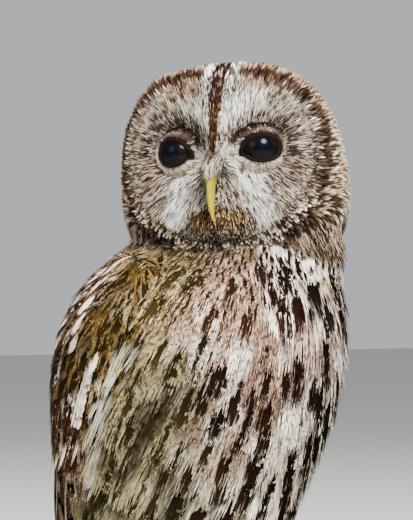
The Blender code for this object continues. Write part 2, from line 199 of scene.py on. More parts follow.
def biggest_part(points, triangles):
    group = np.arange(len(points))
    while True:
        low = group[triangles].min(axis=1)
        before = group.copy()
        for corner in range(3):
            np.minimum.at(group, triangles[:, corner], low)
        group = group[group]
        if (group == before).all():
            break
    kept = group[triangles[:, 0]] == np.bincount(group).argmax()
    used, renumbered = np.unique(triangles[kept], return_inverse=True)
    return points[used], renumbered.reshape(-1, 3).astype(np.int32)


def neighbour_mean(values, triangles, rounds, share=0.5):
    """Values evened out along the surface."""
    pairs = np.concatenate([triangles[:, [0, 1]], triangles[:, [1, 2]], triangles[:, [2, 0]]])
    count = np.bincount(pairs.ravel(), minlength=len(values)).astype(float)
    values = values.reshape(len(values), -1).astype(float)
    for _ in range(rounds):
        total = np.empty_like(values)
        for column in range(values.shape[1]):
            total[:, column] = np.bincount(pairs[:, 0], values[pairs[:, 1], column], len(values))
            total[:, column] += np.bincount(pairs[:, 1], values[pairs[:, 0], column], len(values))
        values = values + share * (total / count[:, None] - values)
    return values


def on_tail(points):
    """Where the wing tips meet the tail's upper side."""
    return (points[:, 2] < 0.075) & (points[:, 1] > 0.059)


class Surface:
    """The skin's shape: nearest places, outward normals, coat depth, node and map place."""

    def __init__(self):
        points, triangles, owners = flesh_solids()
        solids = BVHTree.FromPolygons(points.tolist(), triangles.tolist())
        shell, self.corners = remeshed(points, triangles)
        shell = neighbour_mean(shell, self.corners, 3)
        owner = owners[[solids.find_nearest(place)[2] for place in shell.tolist()]]
        depth = np.array([COAT_DEPTH[kind] for kind in KIND_OF])[owner] * MM
        wing_tip = (KIND_OF[owner] == "flight") & on_tail(shell)
        shell = neighbour_mean(shell, self.corners, 120, 0.9 * wing_tip[:, None])     # faired into the tail
        self.depth = neighbour_mean(depth, self.corners, 12)[:, 0]
        self.owner = owner
        normals = neighbour_mean(self.normals_of(shell), self.corners, 2)
        self.points = shell - unit(normals) * self.depth[:, None]
        self.normals = unit(self.normals_of(self.points))
        self.tree = BVHTree.FromPolygons(self.points.tolist(), self.corners.tolist())
        self.map = None              # each triangle's place on the map, filled in by make_skin

    def normals_of(self, points):
        a, b, c = (points[self.corners[:, corner]] for corner in range(3))
        face = np.cross(b - a, c - a)
        total = np.zeros_like(points)
        for corner in range(3):
            for axis in range(3):
                total[:, axis] += np.bincount(self.corners[:, corner], face[:, axis], len(points))
        return unit(total)

    def settle(self, hits):
        """Places, smooth normals and triangle numbers of tree hits."""
        place = np.array([hit[0] for hit in hits])
        index = np.array([hit[2] for hit in hits])
        corner = self.corners[index]
        a, b, c = (self.points[corner[:, k]] for k in range(3))
        area = np.cross(b - a, c - a)
        whole = np.maximum((area ** 2).sum(1), 1e-24)
        second = (np.cross(c - b, place - b) * area).sum(1) / whole
        third = (np.cross(a - c, place - c) * area).sum(1) / whole
        weight = np.clip(np.stack([second, third, 1 - second - third], 1), 0, 1)
        normal = unit((self.normals[corner] * weight[:, :, None]).sum(1))
        return place, normal, index

    def near(self, points):
        return self.settle([self.tree.find_nearest(point) for point in points.tolist()])

    def shoot(self, middle, outward):
        """The outermost hit along each direction; also says which rays hit."""
        start = middle + outward * 0.25
        hits = [self.tree.ray_cast(a, b) for a, b in zip(start.tolist(), (-outward).tolist())]
        found = np.array([hit[0] is not None for hit in hits])
        place, normal, index = self.settle([hit for hit in hits if hit[0] is not None])
        return place, normal, index, found

    def depth_at(self, index):
        return self.depth[self.corners[index]].mean(1)

    def nodes_at(self, index):
        """The number in FLESH of the node that each triangle belongs to."""
        return self.owner[self.corners[index, 0]]

    def scatter(self, count, spacing, wanted):
        """Evenly spread places on the triangles that wanted allows."""
        a, b, c = (self.points[self.corners[:, k]] for k in range(3))
        size = np.linalg.norm(np.cross(b - a, c - a), axis=1) * wanted
        index = rng.choice(len(size), count, p=size / size.sum())
        s, t = rng.random((2, count))
        flip = s + t > 1
        s[flip], t[flip] = 1 - s[flip], 1 - t[flip]
        place = a[index] + (b - a)[index] * s[:, None] + (c - a)[index] * t[:, None]
        taken, kept = {}, []
        cells = np.floor(place / spacing).astype(int).tolist()
        for number, (cell, point) in enumerate(zip(cells, place.tolist())):
            x, y, z = cell
            close = (taken.get((x + i, y + j, z + k)) for i in (-1, 0, 1) for j in (-1, 0, 1)
                     for k in (-1, 0, 1))
            if any(other and math.dist(other, point) < spacing for other in close):
                continue
            taken[(x, y, z)] = point
            kept.append(number)
        kept = np.array(kept)
        return place[kept], unit(self.normals[self.corners[index[kept]]].sum(1)), index[kept]


skin = Surface()
FACE_KIND = KIND_OF[skin.owner[skin.corners[:, 0]]]
centroid = skin.points[skin.corners].mean(1)


# ---------------------------------------------------------------- places on the owl

def middle_of(name):
    low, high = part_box(name)
    return np.array((low + high) / 2)


EYE_AT = {side: middle_of("eye_" + side) for side in SIDES}
EYE_RADIUS = float(np.ptp(np.array(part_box("eye_left")), axis=0).max()) / 2
EYE_X = float(np.linalg.norm(EYE_AT["left"] - EYE_AT["right"])) / 2
EYE_Y = -20.0 * MM
EYE_Z = 21.5 * MM
across = unit(EYE_AT["left"] - EYE_AT["right"])
upward = unit(np.array([0, 0, 1.0]) - across * across[2])
HEAD = np.stack([across, np.cross(upward, across), upward])       # rows: left, back, up
HEAD_AT = (EYE_AT["left"] + EYE_AT["right"]) / 2 - np.array([0, EYE_Y, EYE_Z]) @ HEAD


def to_head(points):
    return (points - HEAD_AT) @ HEAD.T


def from_head(points):
    return points @ HEAD + HEAD_AT


BODY_AXIS = np.array([         # height, middle of the body front to back
    (0.000, 0.010), (0.077, -0.0035), (0.115, -0.0145), (0.150, -0.024), (0.194, -0.0355),
    (0.229, -0.045), (0.2526, -0.0595), (0.276, -0.0643), (0.34, -0.0643),
])
WING_AXIS = np.array([         # height, middle, front turn, back turn
    (0.044, 0.0115, 141, 164), (0.056, 0.0075, 128, 167), (0.075, 0.0015, 114, 169),
    (0.100, -0.0075, 101, 170), (0.130, -0.0175, 90, 169), (0.160, -0.0265, 81, 166),
    (0.190, -0.0345, 73, 161), (0.215, -0.0405, 66, 155), (0.234, -0.0455, 61, 146),
    (0.244, -0.051, 64, 132), (0.250, -0.0545, 76, 118),
])


def body_axis(height):
    return np.interp(height, BODY_AXIS[:, 0], BODY_AXIS[:, 1])


def turn_of(points):
    """Angle round the body, 0 at the breast, positive to the owl's left."""
    return np.arctan2(points[:, 0], -(points[:, 1] - body_axis(points[:, 2])))


def wing_axis(height):
    return [np.interp(height, WING_AXIS[:, 0], WING_AXIS[:, k]) for k in (1, 2, 3)]


def wing_share(points):
    """Place across the folded wing: 0 at its front edge, 1 at its back edge."""
    middle, front, back = wing_axis(points[:, 2])
    turn = np.degrees(np.arctan2(np.abs(points[:, 0]), -(points[:, 1] - middle)))
    return (turn - front) / np.maximum(back - front, 1)


# ---------------------------------------------------------------- which way the plumage lies

BREAST_SPREAD = 0.50
BREAST_MIDDLE = math.radians(16)


def breast_drift(turns):
    """How far the breast's streaks spread sideways as they run down."""
    return BREAST_SPREAD * np.sin(np.clip(turns - BREAST_MIDDLE, -1.5, 1.5))


def disc_reach(local):
    """1 on the rim of the facial disc, less inside."""
    rise = local[:, 2] - 16.5 * MM
    power = 2.2 + 0.9 * step(rise, -8 * MM, 8 * MM)
    height = np.where(rise > 0, 41 * MM, 37.5 * MM)
    flat = np.abs(local[:, 0] / (46.5 * MM)) ** power + np.abs(rise / height) ** power
    return flat ** (1 / power) + step(local[:, 1], -12 * MM, 2 * MM)


RIM_Z = np.array([-10, -3, 6, 24, 33, 42, 50, 56]) * MM
RIM_REACH = (0.985, 0.975, 0.985, 0.995, 0.975, 0.925, 0.925, 0.96)


def rim_reach(local):
    """The reach at which the disc's dark rim lies."""
    return np.interp(local[:, 2], RIM_Z, RIM_REACH)


def face_flow(local):
    flow = np.zeros_like(local)
    for x, z, pull in ((EYE_X, EYE_Z, 1.0), (-EYE_X, EYE_Z, 1.0), (0.0, 15 * MM, 0.7)):
        away = local - np.array([x, 0, z])
        away[:, 1] = 0
        flow += pull * away / (np.sum(away ** 2, axis=1, keepdims=True) + 1e-6)
    return unit(flow)


def head_flow(local):
    sink = step(local[:, 1], -22 * MM, 18 * MM)
    low = step(local[:, 2], 0.006, -0.020)
    flow = np.stack([np.zeros(len(local)), 1 - 0.75 * low, 0.5 - 1.5 * sink - 0.8 * low], 1)
    flow[:, 0] = np.sign(local[:, 0]) * 0.12
    return unit(flow)


def lie(points, nodes):
    """Direction of the plumage at places that belong to the nodes of these numbers."""
    flow = np.zeros_like(points)
    flow[:, 2] = -1
    turn = turn_of(points)
    drift = breast_drift(turn) * step(points[:, 2], 0.262, 0.225) * step(np.abs(turn), 2.6, 1.9)
    flow[:, 0] = np.cos(turn) * drift
    flow[:, 1] = np.sin(turn) * drift
    kinds = KIND_OF[nodes]
    local = to_head(points)
    reach = disc_reach(local)
    on_head = np.isin(kinds, HEAD_KINDS)
    inside = (step(reach, 1.06, 0.94) * on_head)[:, None]
    heading = (head_flow(local) * (1 - inside) + face_flow(local) * inside) @ HEAD
    flow = np.where(on_head[:, None], heading, flow)
    wing = np.isin(kinds, WING_KINDS)
    below = points.copy()        # a little further down the wing, at the same share
    below[:, 2] -= 4 * MM
    middle, front, back = wing_axis(below[:, 2])
    angle = np.radians(front + wing_share(points) * (back - front))
    outward = 0.98 * np.hypot(points[:, 0], points[:, 1] - body_axis(points[:, 2]))
    below[:, 0] = np.sign(points[:, 0]) * outward * np.sin(angle)
    below[:, 1] = middle - outward * np.cos(angle)
    flow = np.where(wing[:, None], unit(below - points), flow)
    for side, sign in SIDES.items():
        toe = np.isin(kinds, TOES + ("foot",)) & (np.sign(points[:, 0]) == sign)
        away = points - middle_of("foot_" + side)
        away[:, 2] = -0.1 * MM
        flow = np.where(toe[:, None], unit(away), flow)
    return unit(flow)


def walk(roots, length, knots=6, free=0.0, turn=None):
    """Curves laid along the skin from the roots: knots, normals, depths and the roots' triangles.

    free is how little a feather clings to the skin, and turn leads it off its lie."""
    place, facing, index = roots
    rows = [(place, facing, skin.depth_at(index))]
    stride = (np.broadcast_to(length, len(place)) / (knots - 1))[:, None]
    free = np.broadcast_to(free, len(place))[:, None]
    nodes = skin.nodes_at(index)
    flow = lie(place, nodes)
    if turn is not None:
        flow = unit(flow + turn)
    for _ in range(knots - 1):
        flow = unit(flow - facing * np.sum(flow * facing, axis=1, keepdims=True) * (1 - free))
        ahead = place + flow * stride
        held, raised, below = skin.near(ahead)
        place = held + (ahead - held) * free
        facing = unit(raised + (facing - raised) * free)
        rows.append((place, facing, skin.depth_at(below)))
        flow = unit(flow * 0.5 + lie(held, nodes) * 0.5)
    curve, normals, depths = (np.stack(part, 1) for part in zip(*rows))
    return curve, unit(normals), depths, index


# ---------------------------------------------------------------- feather patterns

def strand_rows(centre, half, along, lift, roll, start=0):
    """One tapering strand as rows of two points and a tip."""
    x = np.empty(len(along) * 2 - 1)
    x[0:-1:2] = centre[:-1] - half[:-1]
    x[1::2] = centre[:-1] + half[:-1]
    x[-1] = centre[-1]
    v = np.repeat(along, 2)[:-1]
    z = np.repeat(lift, 2)[:-1].copy()
    z[0:-1:2] -= roll * half[:-1]
    z[1::2] += roll * half[:-1]
    faces = []
    for row in range(len(along) - 2):
        k = start + row * 2
        faces += [(k, k + 1, k + 3), (k, k + 3, k + 2)]
    k = start + (len(along) - 2) * 2
    faces.append((k, k + 1, k + 2))
    return x, v, z, faces


class Vane:
    """A feather's pattern: across (x, -1 to 1), along (v, 0 to 1) and height above the shaft."""

    def __init__(self):
        self.x, self.v, self.lift, self.u, self.faces = [], [], [], [], []

    def add(self, centre, half, along, lift, roll, u):
        x, v, z, faces = strand_rows(centre, half, along, lift, roll, sum(map(len, self.x)))
        self.x.append(x)
        self.v.append(v)
        self.lift.append(z)
        width = 2 * len(along) - 1
        side = np.where(np.arange(width) % 2, 1, -1) * u[1]
        side[-1] = 0
        self.u.append(u[0] + side)
        self.faces += faces

    def done(self):
        self.x, self.v, self.lift, self.u = map(np.concatenate, (self.x, self.v, self.lift, self.u))
        self.faces = np.array(self.faces)
        return self


def fan(strands, rows, ragged=0.25, point=0.42, overlap=1.7, lift=0.05, roll=0.35, curl=0.16):
    """A contour feather: strands from one root that open into a rounded, ragged vane."""
    vane = Vane()
    for number in rng.permutation(strands):
        a = (number + 0.5) / strands * 2 - 1
        reach = (1 - point * abs(a) ** 2.2) * (1 + ragged * (rng.random() - 0.6))
        t = np.linspace(0, 1, rows + 1)
        spread = np.clip(t / 0.42, 0, 1) ** 0.8 * (1 - 0.16 * t ** 2)
        bend = (rng.random() - 0.5) * curl * t ** 2
        half = overlap / strands * (0.25 + 0.75 * spread) * np.sqrt(1 - 0.97 * t ** 2.2)
        height = lift * (rng.random() - 0.3) * t + lift * (1 - abs(a)) * 0.8
        vane.add(a * spread + bend, half, t * reach, height, roll * (rng.random() - 0.5), (a, 1 / strands))
    return vane.done()


def quill(strands, rows=3, slope=0.10, tip=0.16):
    """A flight feather: a shaft and oblique barbs that make its two webs."""
    vane = Vane()
    along = np.linspace(0, 1, 9)
    half = 0.050 * (1 - 0.8 * along)
    vane.add(np.zeros(9), half, along * 0.985, np.full(9, 0.06), 0.0, (0.0, 0.04))
    t = np.repeat(np.linspace(0, 1, rows + 1), 2)
    upper = np.arange(len(t)) % 2
    k = np.arange(rows) * 2
    faces = np.concatenate([np.stack([k, k + 1, k + 3], 1), np.stack([k, k + 3, k + 2], 1)])
    for number in range(strands):
        for side in (-1, 1):
            start = 0.02 + 0.90 * (number + rng.random() * 0.2) / strands
            end = start + slope * (0.94 + 0.12 * (rng.random() > 0.85))
            width = np.sin(np.clip((1.02 - end) / tip, 0, 1) * math.pi / 2) ** 0.8 * min(1, 0.35 + start * 3)
            width *= 1 + 0.03 * rng.random()
            across = side * width * t
            base = sum(map(len, vane.x))
            vane.x.append(across)
            barb = start + (end - start) * t ** 1.15 + upper * (2.2 - 0.6 * t) / strands
            vane.v.append(np.clip(barb, 0, 1))
            vane.lift.append(0.02 * rng.random() - 0.10 * across ** 2)
            vane.u.append(across / max(width, 0.05))
            vane.faces += (faces + base).tolist()
    return vane.done()


def knot_weights(v, knots):
    """How much each knot counts at each share of the length (smooth cubic)."""
    place = np.clip(v, 0, 1) * (knots - 1)
    cell = np.minimum(np.floor(place).astype(int), knots - 2)
    t = place - cell
    weights = np.zeros((len(v), knots))
    rows = np.arange(len(v))
    cubic = (-0.5 * t + t ** 2 - 0.5 * t ** 3, 1 - 2.5 * t ** 2 + 1.5 * t ** 3,
             0.5 * t + 2 * t ** 2 - 1.5 * t ** 3, -0.5 * t ** 2 + 0.5 * t ** 3)
    for offset, amount in zip((-1, 0, 1, 2), cubic):
        np.add.at(weights, (rows, np.clip(cell + offset, 0, knots - 1)), amount)
    return weights


class Look:
    """Per-feather colours and pattern amounts."""

    def __init__(self, count):
        self.ground = np.tile(rgb(214, 200, 178), (count, 1))
        self.mark = np.tile(rgb(52, 37, 28), (count, 1))
        self.streak = np.zeros(count)
        self.bars = np.zeros(count)
        self.mottle = np.zeros(count)
        self.blotch = np.zeros(count)

    def take(self, chosen):
        part = Look(0)
        for key, values in vars(self).items():
            setattr(part, key, values[chosen])
        return part

    def over(self, amount, **layer):
        """Lays colours or pattern amounts over those that are there, by amount."""
        for key, value in layer.items():
            old = getattr(self, key)
            new = tint(old, value, amount) if old.ndim > 1 else old * (1 - amount) + value * amount
            setattr(self, key, new)


def grow(name, laid, half, vanes, look, coat, rise=(0.12, 1.0), proud=0.0, camber=0.25, slant=0.0):
    """Lays one feather on each curve and makes the pieces of that tract.

    coat is a slot, which is not used, and the nodes that the pieces stand for."""
    curve, normals, depths, index = laid
    count, knots = depths.shape
    share = np.linspace(0, 1, knots)
    height = depths * (rise[0] + (rise[1] - rise[0]) * share ** 0.8)
    height = height + np.broadcast_to(proud, count)[:, None] * share ** 2
    curve = curve + normals * height[:, :, None]
    along = unit(np.gradient(curve, axis=1))
    half, slant = np.broadcast_to(half, count), np.broadcast_to(slant, count)
    chance = rng.random(count)
    kind = rng.integers(len(vanes), size=count)
    parts = []
    for number, vane in enumerate(vanes):
        chosen = np.flatnonzero(kind == number)
        if not len(chosen):
            continue
        weights = knot_weights(vane.v, knots)
        centre, up, ahead = (np.einsum("vk,nkc->nvc", weights, rows[chosen])
                             for rows in (curve, normals, along))
        up = unit(up)
        side = unit(np.cross(unit(ahead), up))
        wide = half[chosen][:, None, None]
        lift = vane.lift[None] - camber * vane.x[None] ** 2 + slant[chosen][:, None] * vane.x[None]
        points = centre + side * vane.x[None, :, None] * wide + up * lift[:, :, None] * wide
        parts.append((chosen, vane, points))
    for number, batch in enumerate(batches_of(parts), 1):
        build(f"{name}_{number:02d}", batch, chance, skin.map[index], look, coat)


def batches_of(parts):
    """The laid feathers in batches under the triangle limit."""
    batches, load = [[]], 0
    for chosen, vane, points in parts:
        size = len(vane.faces)
        first = 0
        while first < len(chosen):
            room = (PIECE_LIMIT - load) // size
            if room <= 0:
                batches.append([])
                load = 0
                continue
            last = min(len(chosen), first + room)
            batches[-1].append((chosen[first:last], vane, points[first:last]))
            load += (last - first) * size
            first = last
    return batches


def build(name, batch, chance, centre_map, look, coat):
    """Joins a batch of feathers into one piece."""
    rows, faces, start = [], [], 0
    for chosen, vane, points in batch:
        count, width = len(chosen), len(vane.x)
        offsets = start + np.arange(count)[:, None, None] * width
        faces.append((vane.faces[None] + offsets).reshape(-1, 3))
        start += count * width
        feather = np.repeat(chosen, width)
        u, v = np.tile(vane.u, count), np.tile(vane.v, count)
        spot = centre_map[feather] + np.stack([u * 0.5, v - 0.5], 1) * PATCH
        rows.append((points.reshape(-1, 3), spot, np.stack([u, v, chance[feather]], 1), feather))
    points, spots, lies, feather = map(np.concatenate, zip(*rows))
    faces = np.concatenate(faces)
    mesh = new_mesh(name, points, faces)
    pattern = np.stack([look.streak, look.bars, look.mottle], 1)[feather]
    for key, values in (("lie", lies), ("ground", look.ground[feather]), ("mark", look.mark[feather]),
                        ("pattern", pattern), ("blotch", look.blotch[feather])):
        put_attribute(mesh, key, values)
    layer = mesh.uv_layers.new(name="OFBake")
    layer.uv.foreach_set("vector", np.clip(spots, 0, 1)[faces.ravel()].astype(np.float32).ravel())
    show(name, mesh, PLUMAGE, *coat)


# ---------------------------------------------------------------- materials

class Value:
    """A node's output that takes part in a material's sums."""

    def __init__(self, graph, socket):
        self.graph, self.socket = graph, socket

    def __radd__(self, other):
        return self.graph.math("ADD", other, self)

    def __rsub__(self, other):
        return self.graph.math("SUBTRACT", other, self)


def sum_method(operation):
    return lambda value, *other: value.graph.math(operation, value, *other)


for sign, operation in (("add", "ADD"), ("sub", "SUBTRACT"), ("mul", "MULTIPLY"), ("truediv", "DIVIDE"),
                        ("pow", "POWER"), ("gt", "GREATER_THAN"), ("lt", "LESS_THAN"), ("abs", "ABSOLUTE")):
    setattr(Value, f"__{sign}__", sum_method(operation))


class Graph:
    """Short names for building a material's nodes."""

    def __init__(self, name):
        self.material = bpy.data.materials.new(name)
        self.material.use_nodes = True
        self.tree = self.material.node_tree
        self.shader = self.tree.nodes["Principled BSDF"]

    def plug(self, value, socket):
        if isinstance(value, Value):
            self.tree.links.new(value.socket, socket)
        elif socket.type == "RGBA":
            socket.default_value = (*value[:3], 1)
        else:
            socket.default_value = value

    def finish(self, **values):
        """The material, with these values on its shader."""
        for key, value in values.items():
            self.plug(value, self.shader.inputs[key.replace("_", " ")])
        return self.material

    def node(self, kind, inputs=(), out=0, **settings):
        node = self.tree.nodes.new(kind)
        for key, value in settings.items():
            setattr(node, key, value)
        for key, value in dict(inputs).items():
            self.plug(value, node.inputs[key])
        return Value(self, node.outputs[out])

    def math(self, operation, *terms, clamp=False):
        return self.node("ShaderNodeMath", enumerate(terms), operation=operation, use_clamp=clamp)

    def most(self, a, b):
        return self.math("MAXIMUM", a, b)

    def ramp(self, value, low, high, start=0.0, end=1.0):
        inputs = {"Value": value, "From Min": low, "From Max": high, "To Min": start, "To Max": end}
        return self.node("ShaderNodeMapRange", inputs, interpolation_type="SMOOTHSTEP")

    def mix(self, share, a, b, blend="MIX"):
        return self.node("ShaderNodeMix", {0: share, 6: a, 7: b}, 2, data_type="RGBA", blend_type=blend)

    def shaded(self, colour, value):
        """The colour made darker or lighter by a value."""
        tone = self.node("ShaderNodeCombineColor", {0: value, 1: value, 2: value})
        return self.mix(1.0, colour, tone, "MULTIPLY")

    def attribute(self, name, out="Vector"):
        return self.node("ShaderNodeAttribute", out=out, attribute_name=name)

    def place(self):
        return self.node("ShaderNodeTexCoord", out=3)

    def parts(self, vector):
        node = self.tree.nodes.new("ShaderNodeSeparateXYZ")
        self.plug(vector, node.inputs[0])
        return [Value(self, socket) for socket in node.outputs]

    def join(self, x, y, z):
        return self.node("ShaderNodeCombineXYZ", {0: x, 1: y, 2: z})

    def noise(self, vector, scale, detail=2.0, rough=0.5):
        inputs = {"Vector": vector, "Scale": scale, "Detail": detail, "Roughness": rough}
        return self.node("ShaderNodeTexNoise", inputs)

    def bump(self, height, strength, distance):
        return self.node("ShaderNodeBump", {"Height": height, "Strength": strength, "Distance": distance})


def plumage_material():
    """One material for every feather; u runs across a feather, v along it."""
    g = Graph("plumage")
    u, v, chance = g.parts(g.attribute("lie"))
    streak, bars, mottle = g.parts(g.attribute("pattern"))
    blotch = g.attribute("blotch", "Fac")
    ground, mark = g.attribute("ground", "Color"), g.attribute("mark", "Color")
    away = abs(u)
    seed = chance * 47.0
    wobble = g.noise(g.join(u * 2.2, v * 5.0, seed), 1.6, 3.0, 0.6)
    swing = wobble - 0.5

    # a dark streak down the middle, widest past the feather's half
    lens = g.ramp(v, 0.25, 0.60) * g.ramp(v, 1.05, 0.78, 0.22, 1.0)
    width = streak * (swing * 2.0 + lens)
    middle = (chance - 0.5) * 0.5 + swing * 0.9
    shaft = g.ramp(abs(u + middle) - width, 0.05, -0.05) * (streak > 0.01)

    # cross bars: loose chevrons up to 1, straight and even above it
    firm = g.math("SUBTRACT", bars, 1.0, clamp=True)
    loose = 1.0 - firm
    phase = v * (5.6 + firm * 1.6) + away * loose * -2.4
    phase = phase + swing * 2.2 * (loose + 0.05) + chance * 5.0 * (loose + 0.04)
    wave = g.math("SINE", phase * 6.2832) + swing * loose * 2.6
    limit = wobble * 1.3 + (firm + 0.10)
    band = g.ramp(wave, 0.22, 0.70) * g.ramp(away - limit, 0.06, -0.10) * g.math("MINIMUM", bars, 1.0)

    # flecks, and a dark tip where blotch is under 0
    spread = g.join(u * 4.4, v * 6.0, seed)
    fleck = g.ramp(g.noise(spread, 1.9, 3.0, 0.7), 0.52, 0.65) * mottle
    end = g.ramp(v + swing * 0.3, 0.68, 0.76) * g.most(blotch * -1.0, 0.0)
    soft = g.most(band, fleck) * g.ramp(firm, 0.0, 1.0, 0.78, 1.0)
    warm = g.mix(1.0, ground, rgb(214, 168, 120), "MULTIPLY")
    ground = g.mix(g.ramp(g.noise(spread, 0.8, 2.0), 0.45, 0.65) * (mottle * 0.9), ground, warm)
    colour = g.mix(g.most(g.most(shaft, end), soft), ground, mark)

    # blotch 1: a pale oval with a dark ring; from 2: pale edges; 3: all pale
    oval = ((u - 0.14) / 0.46) ** 2.0 + ((v - 0.74) / 0.22) ** 2.0 + swing * 2.4
    patched = (blotch > 0.5) * (blotch < 1.5)
    colour = g.mix(g.ramp(oval, 2.5, 2.0) * patched, colour, mark)
    colour = g.mix(g.ramp(oval, 1.1, 0.85) * patched, colour, rgb(222, 200, 186))
    bare = g.ramp(blotch, 2.0, 3.0, 0.76, 0.0)
    edge = g.ramp(away + swing * 0.15 - bare, 0.0, 0.2) * (blotch > 1.5)
    colour = g.mix(edge, colour, rgb(228, 213, 188))

    # barbs, and shade towards the root and the edges
    barb = g.join(u * 17.0 + v * 2.0, v * 3.0, seed)
    fine = g.ramp(g.noise(barb, 1.6, 2.0), 0.32, 0.66, 0.74, 1.14)
    root = g.ramp(v, 0.10, 0.80, 0.26, 1.0) * g.ramp(away, 0.45, 1.0, 1.0, 0.74)
    shade = fine * root * g.ramp(chance, 0.0, 1.0, 0.66, 1.10)
    return g.finish(Base_Color=g.shaded(colour, shade), Roughness=0.9, Specular_IOR_Level=0.0)


def skin_material():
    g = Graph("skin")
    place = g.place()
    grain = g.noise(place, 900.0, 4.0, 0.7)
    mask = g.ramp(grain, 0.45, 0.62) * g.attribute("amount", "Fac")
    colour = g.mix(mask, g.attribute("ground", "Color"), g.attribute("mark", "Color"))
    fine = g.ramp(g.noise(place, 2600.0, 2.0), 0.3, 0.7, 0.55, 0.95)
    return g.finish(Base_Color=g.shaded(colour, fine), Roughness=0.8, Specular_IOR_Level=0.2,
                    Normal=g.bump(grain, 0.4, 0.0004))


PLUMAGE = plumage_material()
SKIN = skin_material()


# ---------------------------------------------------------------- markings

WHITE = rgb(246, 240, 230)
CREAM = rgb(230, 208, 176)
BUFF = rgb(200, 162, 112)
RUFOUS = rgb(112, 66, 42)
BROWN = rgb(66, 42, 28)
DARK = rgb(24, 15, 10)
BLACK = rgb(12, 8, 6)
PINK = rgb(206, 184, 170)
CHEVRON_SIZE, SMALL_SIZE, PATCH_SIZE = 1.5 * MM, 7 * MM, 16 * MM


def step_mm(values, low, high):
    return step(values, low * MM, high * MM)


def step_degrees(turn, low, high):
    return step(turn, math.radians(low), math.radians(high))


def laid_over(colour, *layers):
    """A colour with others laid over it: each layer is a colour and how much of it."""
    for other, amount in layers:
        colour = tint(colour, other, amount)
    return colour


def flat_distance(across, up):
    return np.linalg.norm(np.stack([across, up], 1), axis=1)


def eye_distance(local, wide=1.0):
    """Distance in the face's plane from each place to the nearer eye; wide stretches it sideways."""
    return flat_distance((np.abs(local[:, 0]) - EYE_X) / wide, local[:, 2] - EYE_Z)


def segment_distance(local, start, end):
    """Distance in the face's plane from each place to a line, in metres."""
    flat = local[:, [0, 2]]
    a, b = np.array(start) * MM, np.array(end) * MM
    share = np.clip(((flat - a) @ (b - a)) / ((b - a) @ (b - a)), 0, 1)
    return np.linalg.norm(flat - a - share[:, None] * (b - a), axis=1)


def mirrored_distance(local, *ends):
    folded = local.copy()
    folded[:, 0] = np.abs(folded[:, 0])
    return np.min([segment_distance(folded, a, b) for a, b in zip(ends, ends[1:])], axis=0)


def white_face(local):
    """Where the white brows and lores are."""
    brow = mirrored_distance(local, (3.5, 31), (9, 38), (17, 42)) + 1.5 * MM * (local[:, 0] < 0)
    lore = mirrored_distance(local, (6, 16), (15, 9), (20.5, -6))
    return np.maximum(step_mm(brow, 6.5, 3), step_mm(lore, 6.5, 3))


def face_colour(local, reach, patch, clump, chance):
    """The facial disc's colour, and where it is pure white."""
    z = local[:, 2]
    side = np.abs(local[:, 0])
    eye = eye_distance(local)
    near_bill = step_mm(flat_distance(side, z - 9 * MM), 11, 5)
    pure = white_face(local)
    outer = step_mm(side, 22, 31)
    rusty = step_mm(flat_distance(side - 31 * MM, z - 12 * MM), 9, 2)
    # above the eye: the brown round the eye, darkened by painted shade under the brow
    hood = step_mm(eye, 12.8, 11.2) * step_mm(z, 18, 22)
    under = step_mm(np.abs(eye - 10.5 * MM), 1.6, 0.6) * step_mm(z, 17, 14)
    hair = (clump < 0.445 + 0.10 * step(reach, 0.5, 0.95)) * 1.0
    hair = np.maximum(hair, (chance < 0.50 * near_bill) * 1.0)
    hair = hair * (1 - pure * (clump > 0.35)) * (1 - 0.6 * under)
    # painted shadow of the brow's fold: a dark line arching over the eye
    brow_shadow = step_mm(np.abs(eye - 11.4 * MM - 0.6 * MM * outer), 2.0, 0.8) * step_mm(z, 19, 22)
    brow_shadow = brow_shadow * step(clump, 0.62 - 0.30 * outer, 0.58 - 0.30 * outer)
    notch = step_mm(mirrored_distance(local, (8.6, 21.5), (9.2, 15.6)), 2.2, 1.0)
    face = laid_over(rgb(244, 232, 214),
                (PINK, 0.6 * step_mm(eye, 20, 12) * (side > EYE_X)),
                (rgb(150, 118, 92), 0.75 * patch * step(reach, 0.45, 0.85)),
                (WHITE, pure),
                (rgb(160, 110, 82), 0.28 * rusty),
                (tint(rgb(92, 66, 50), rgb(150, 126, 106), outer),
                 0.93 * hood * (1 - 0.40 * outer) * (clump < 0.80)),
                (WHITE, 0.5 * under),
                (rgb(26, 18, 14), (0.88 + 0.10 * near_bill) * hair),
                (rgb(34, 21, 15), (0.95 - 0.5 * outer) * brow_shadow),
                (rgb(30, 20, 16), 0.95 * notch))
    return face, pure


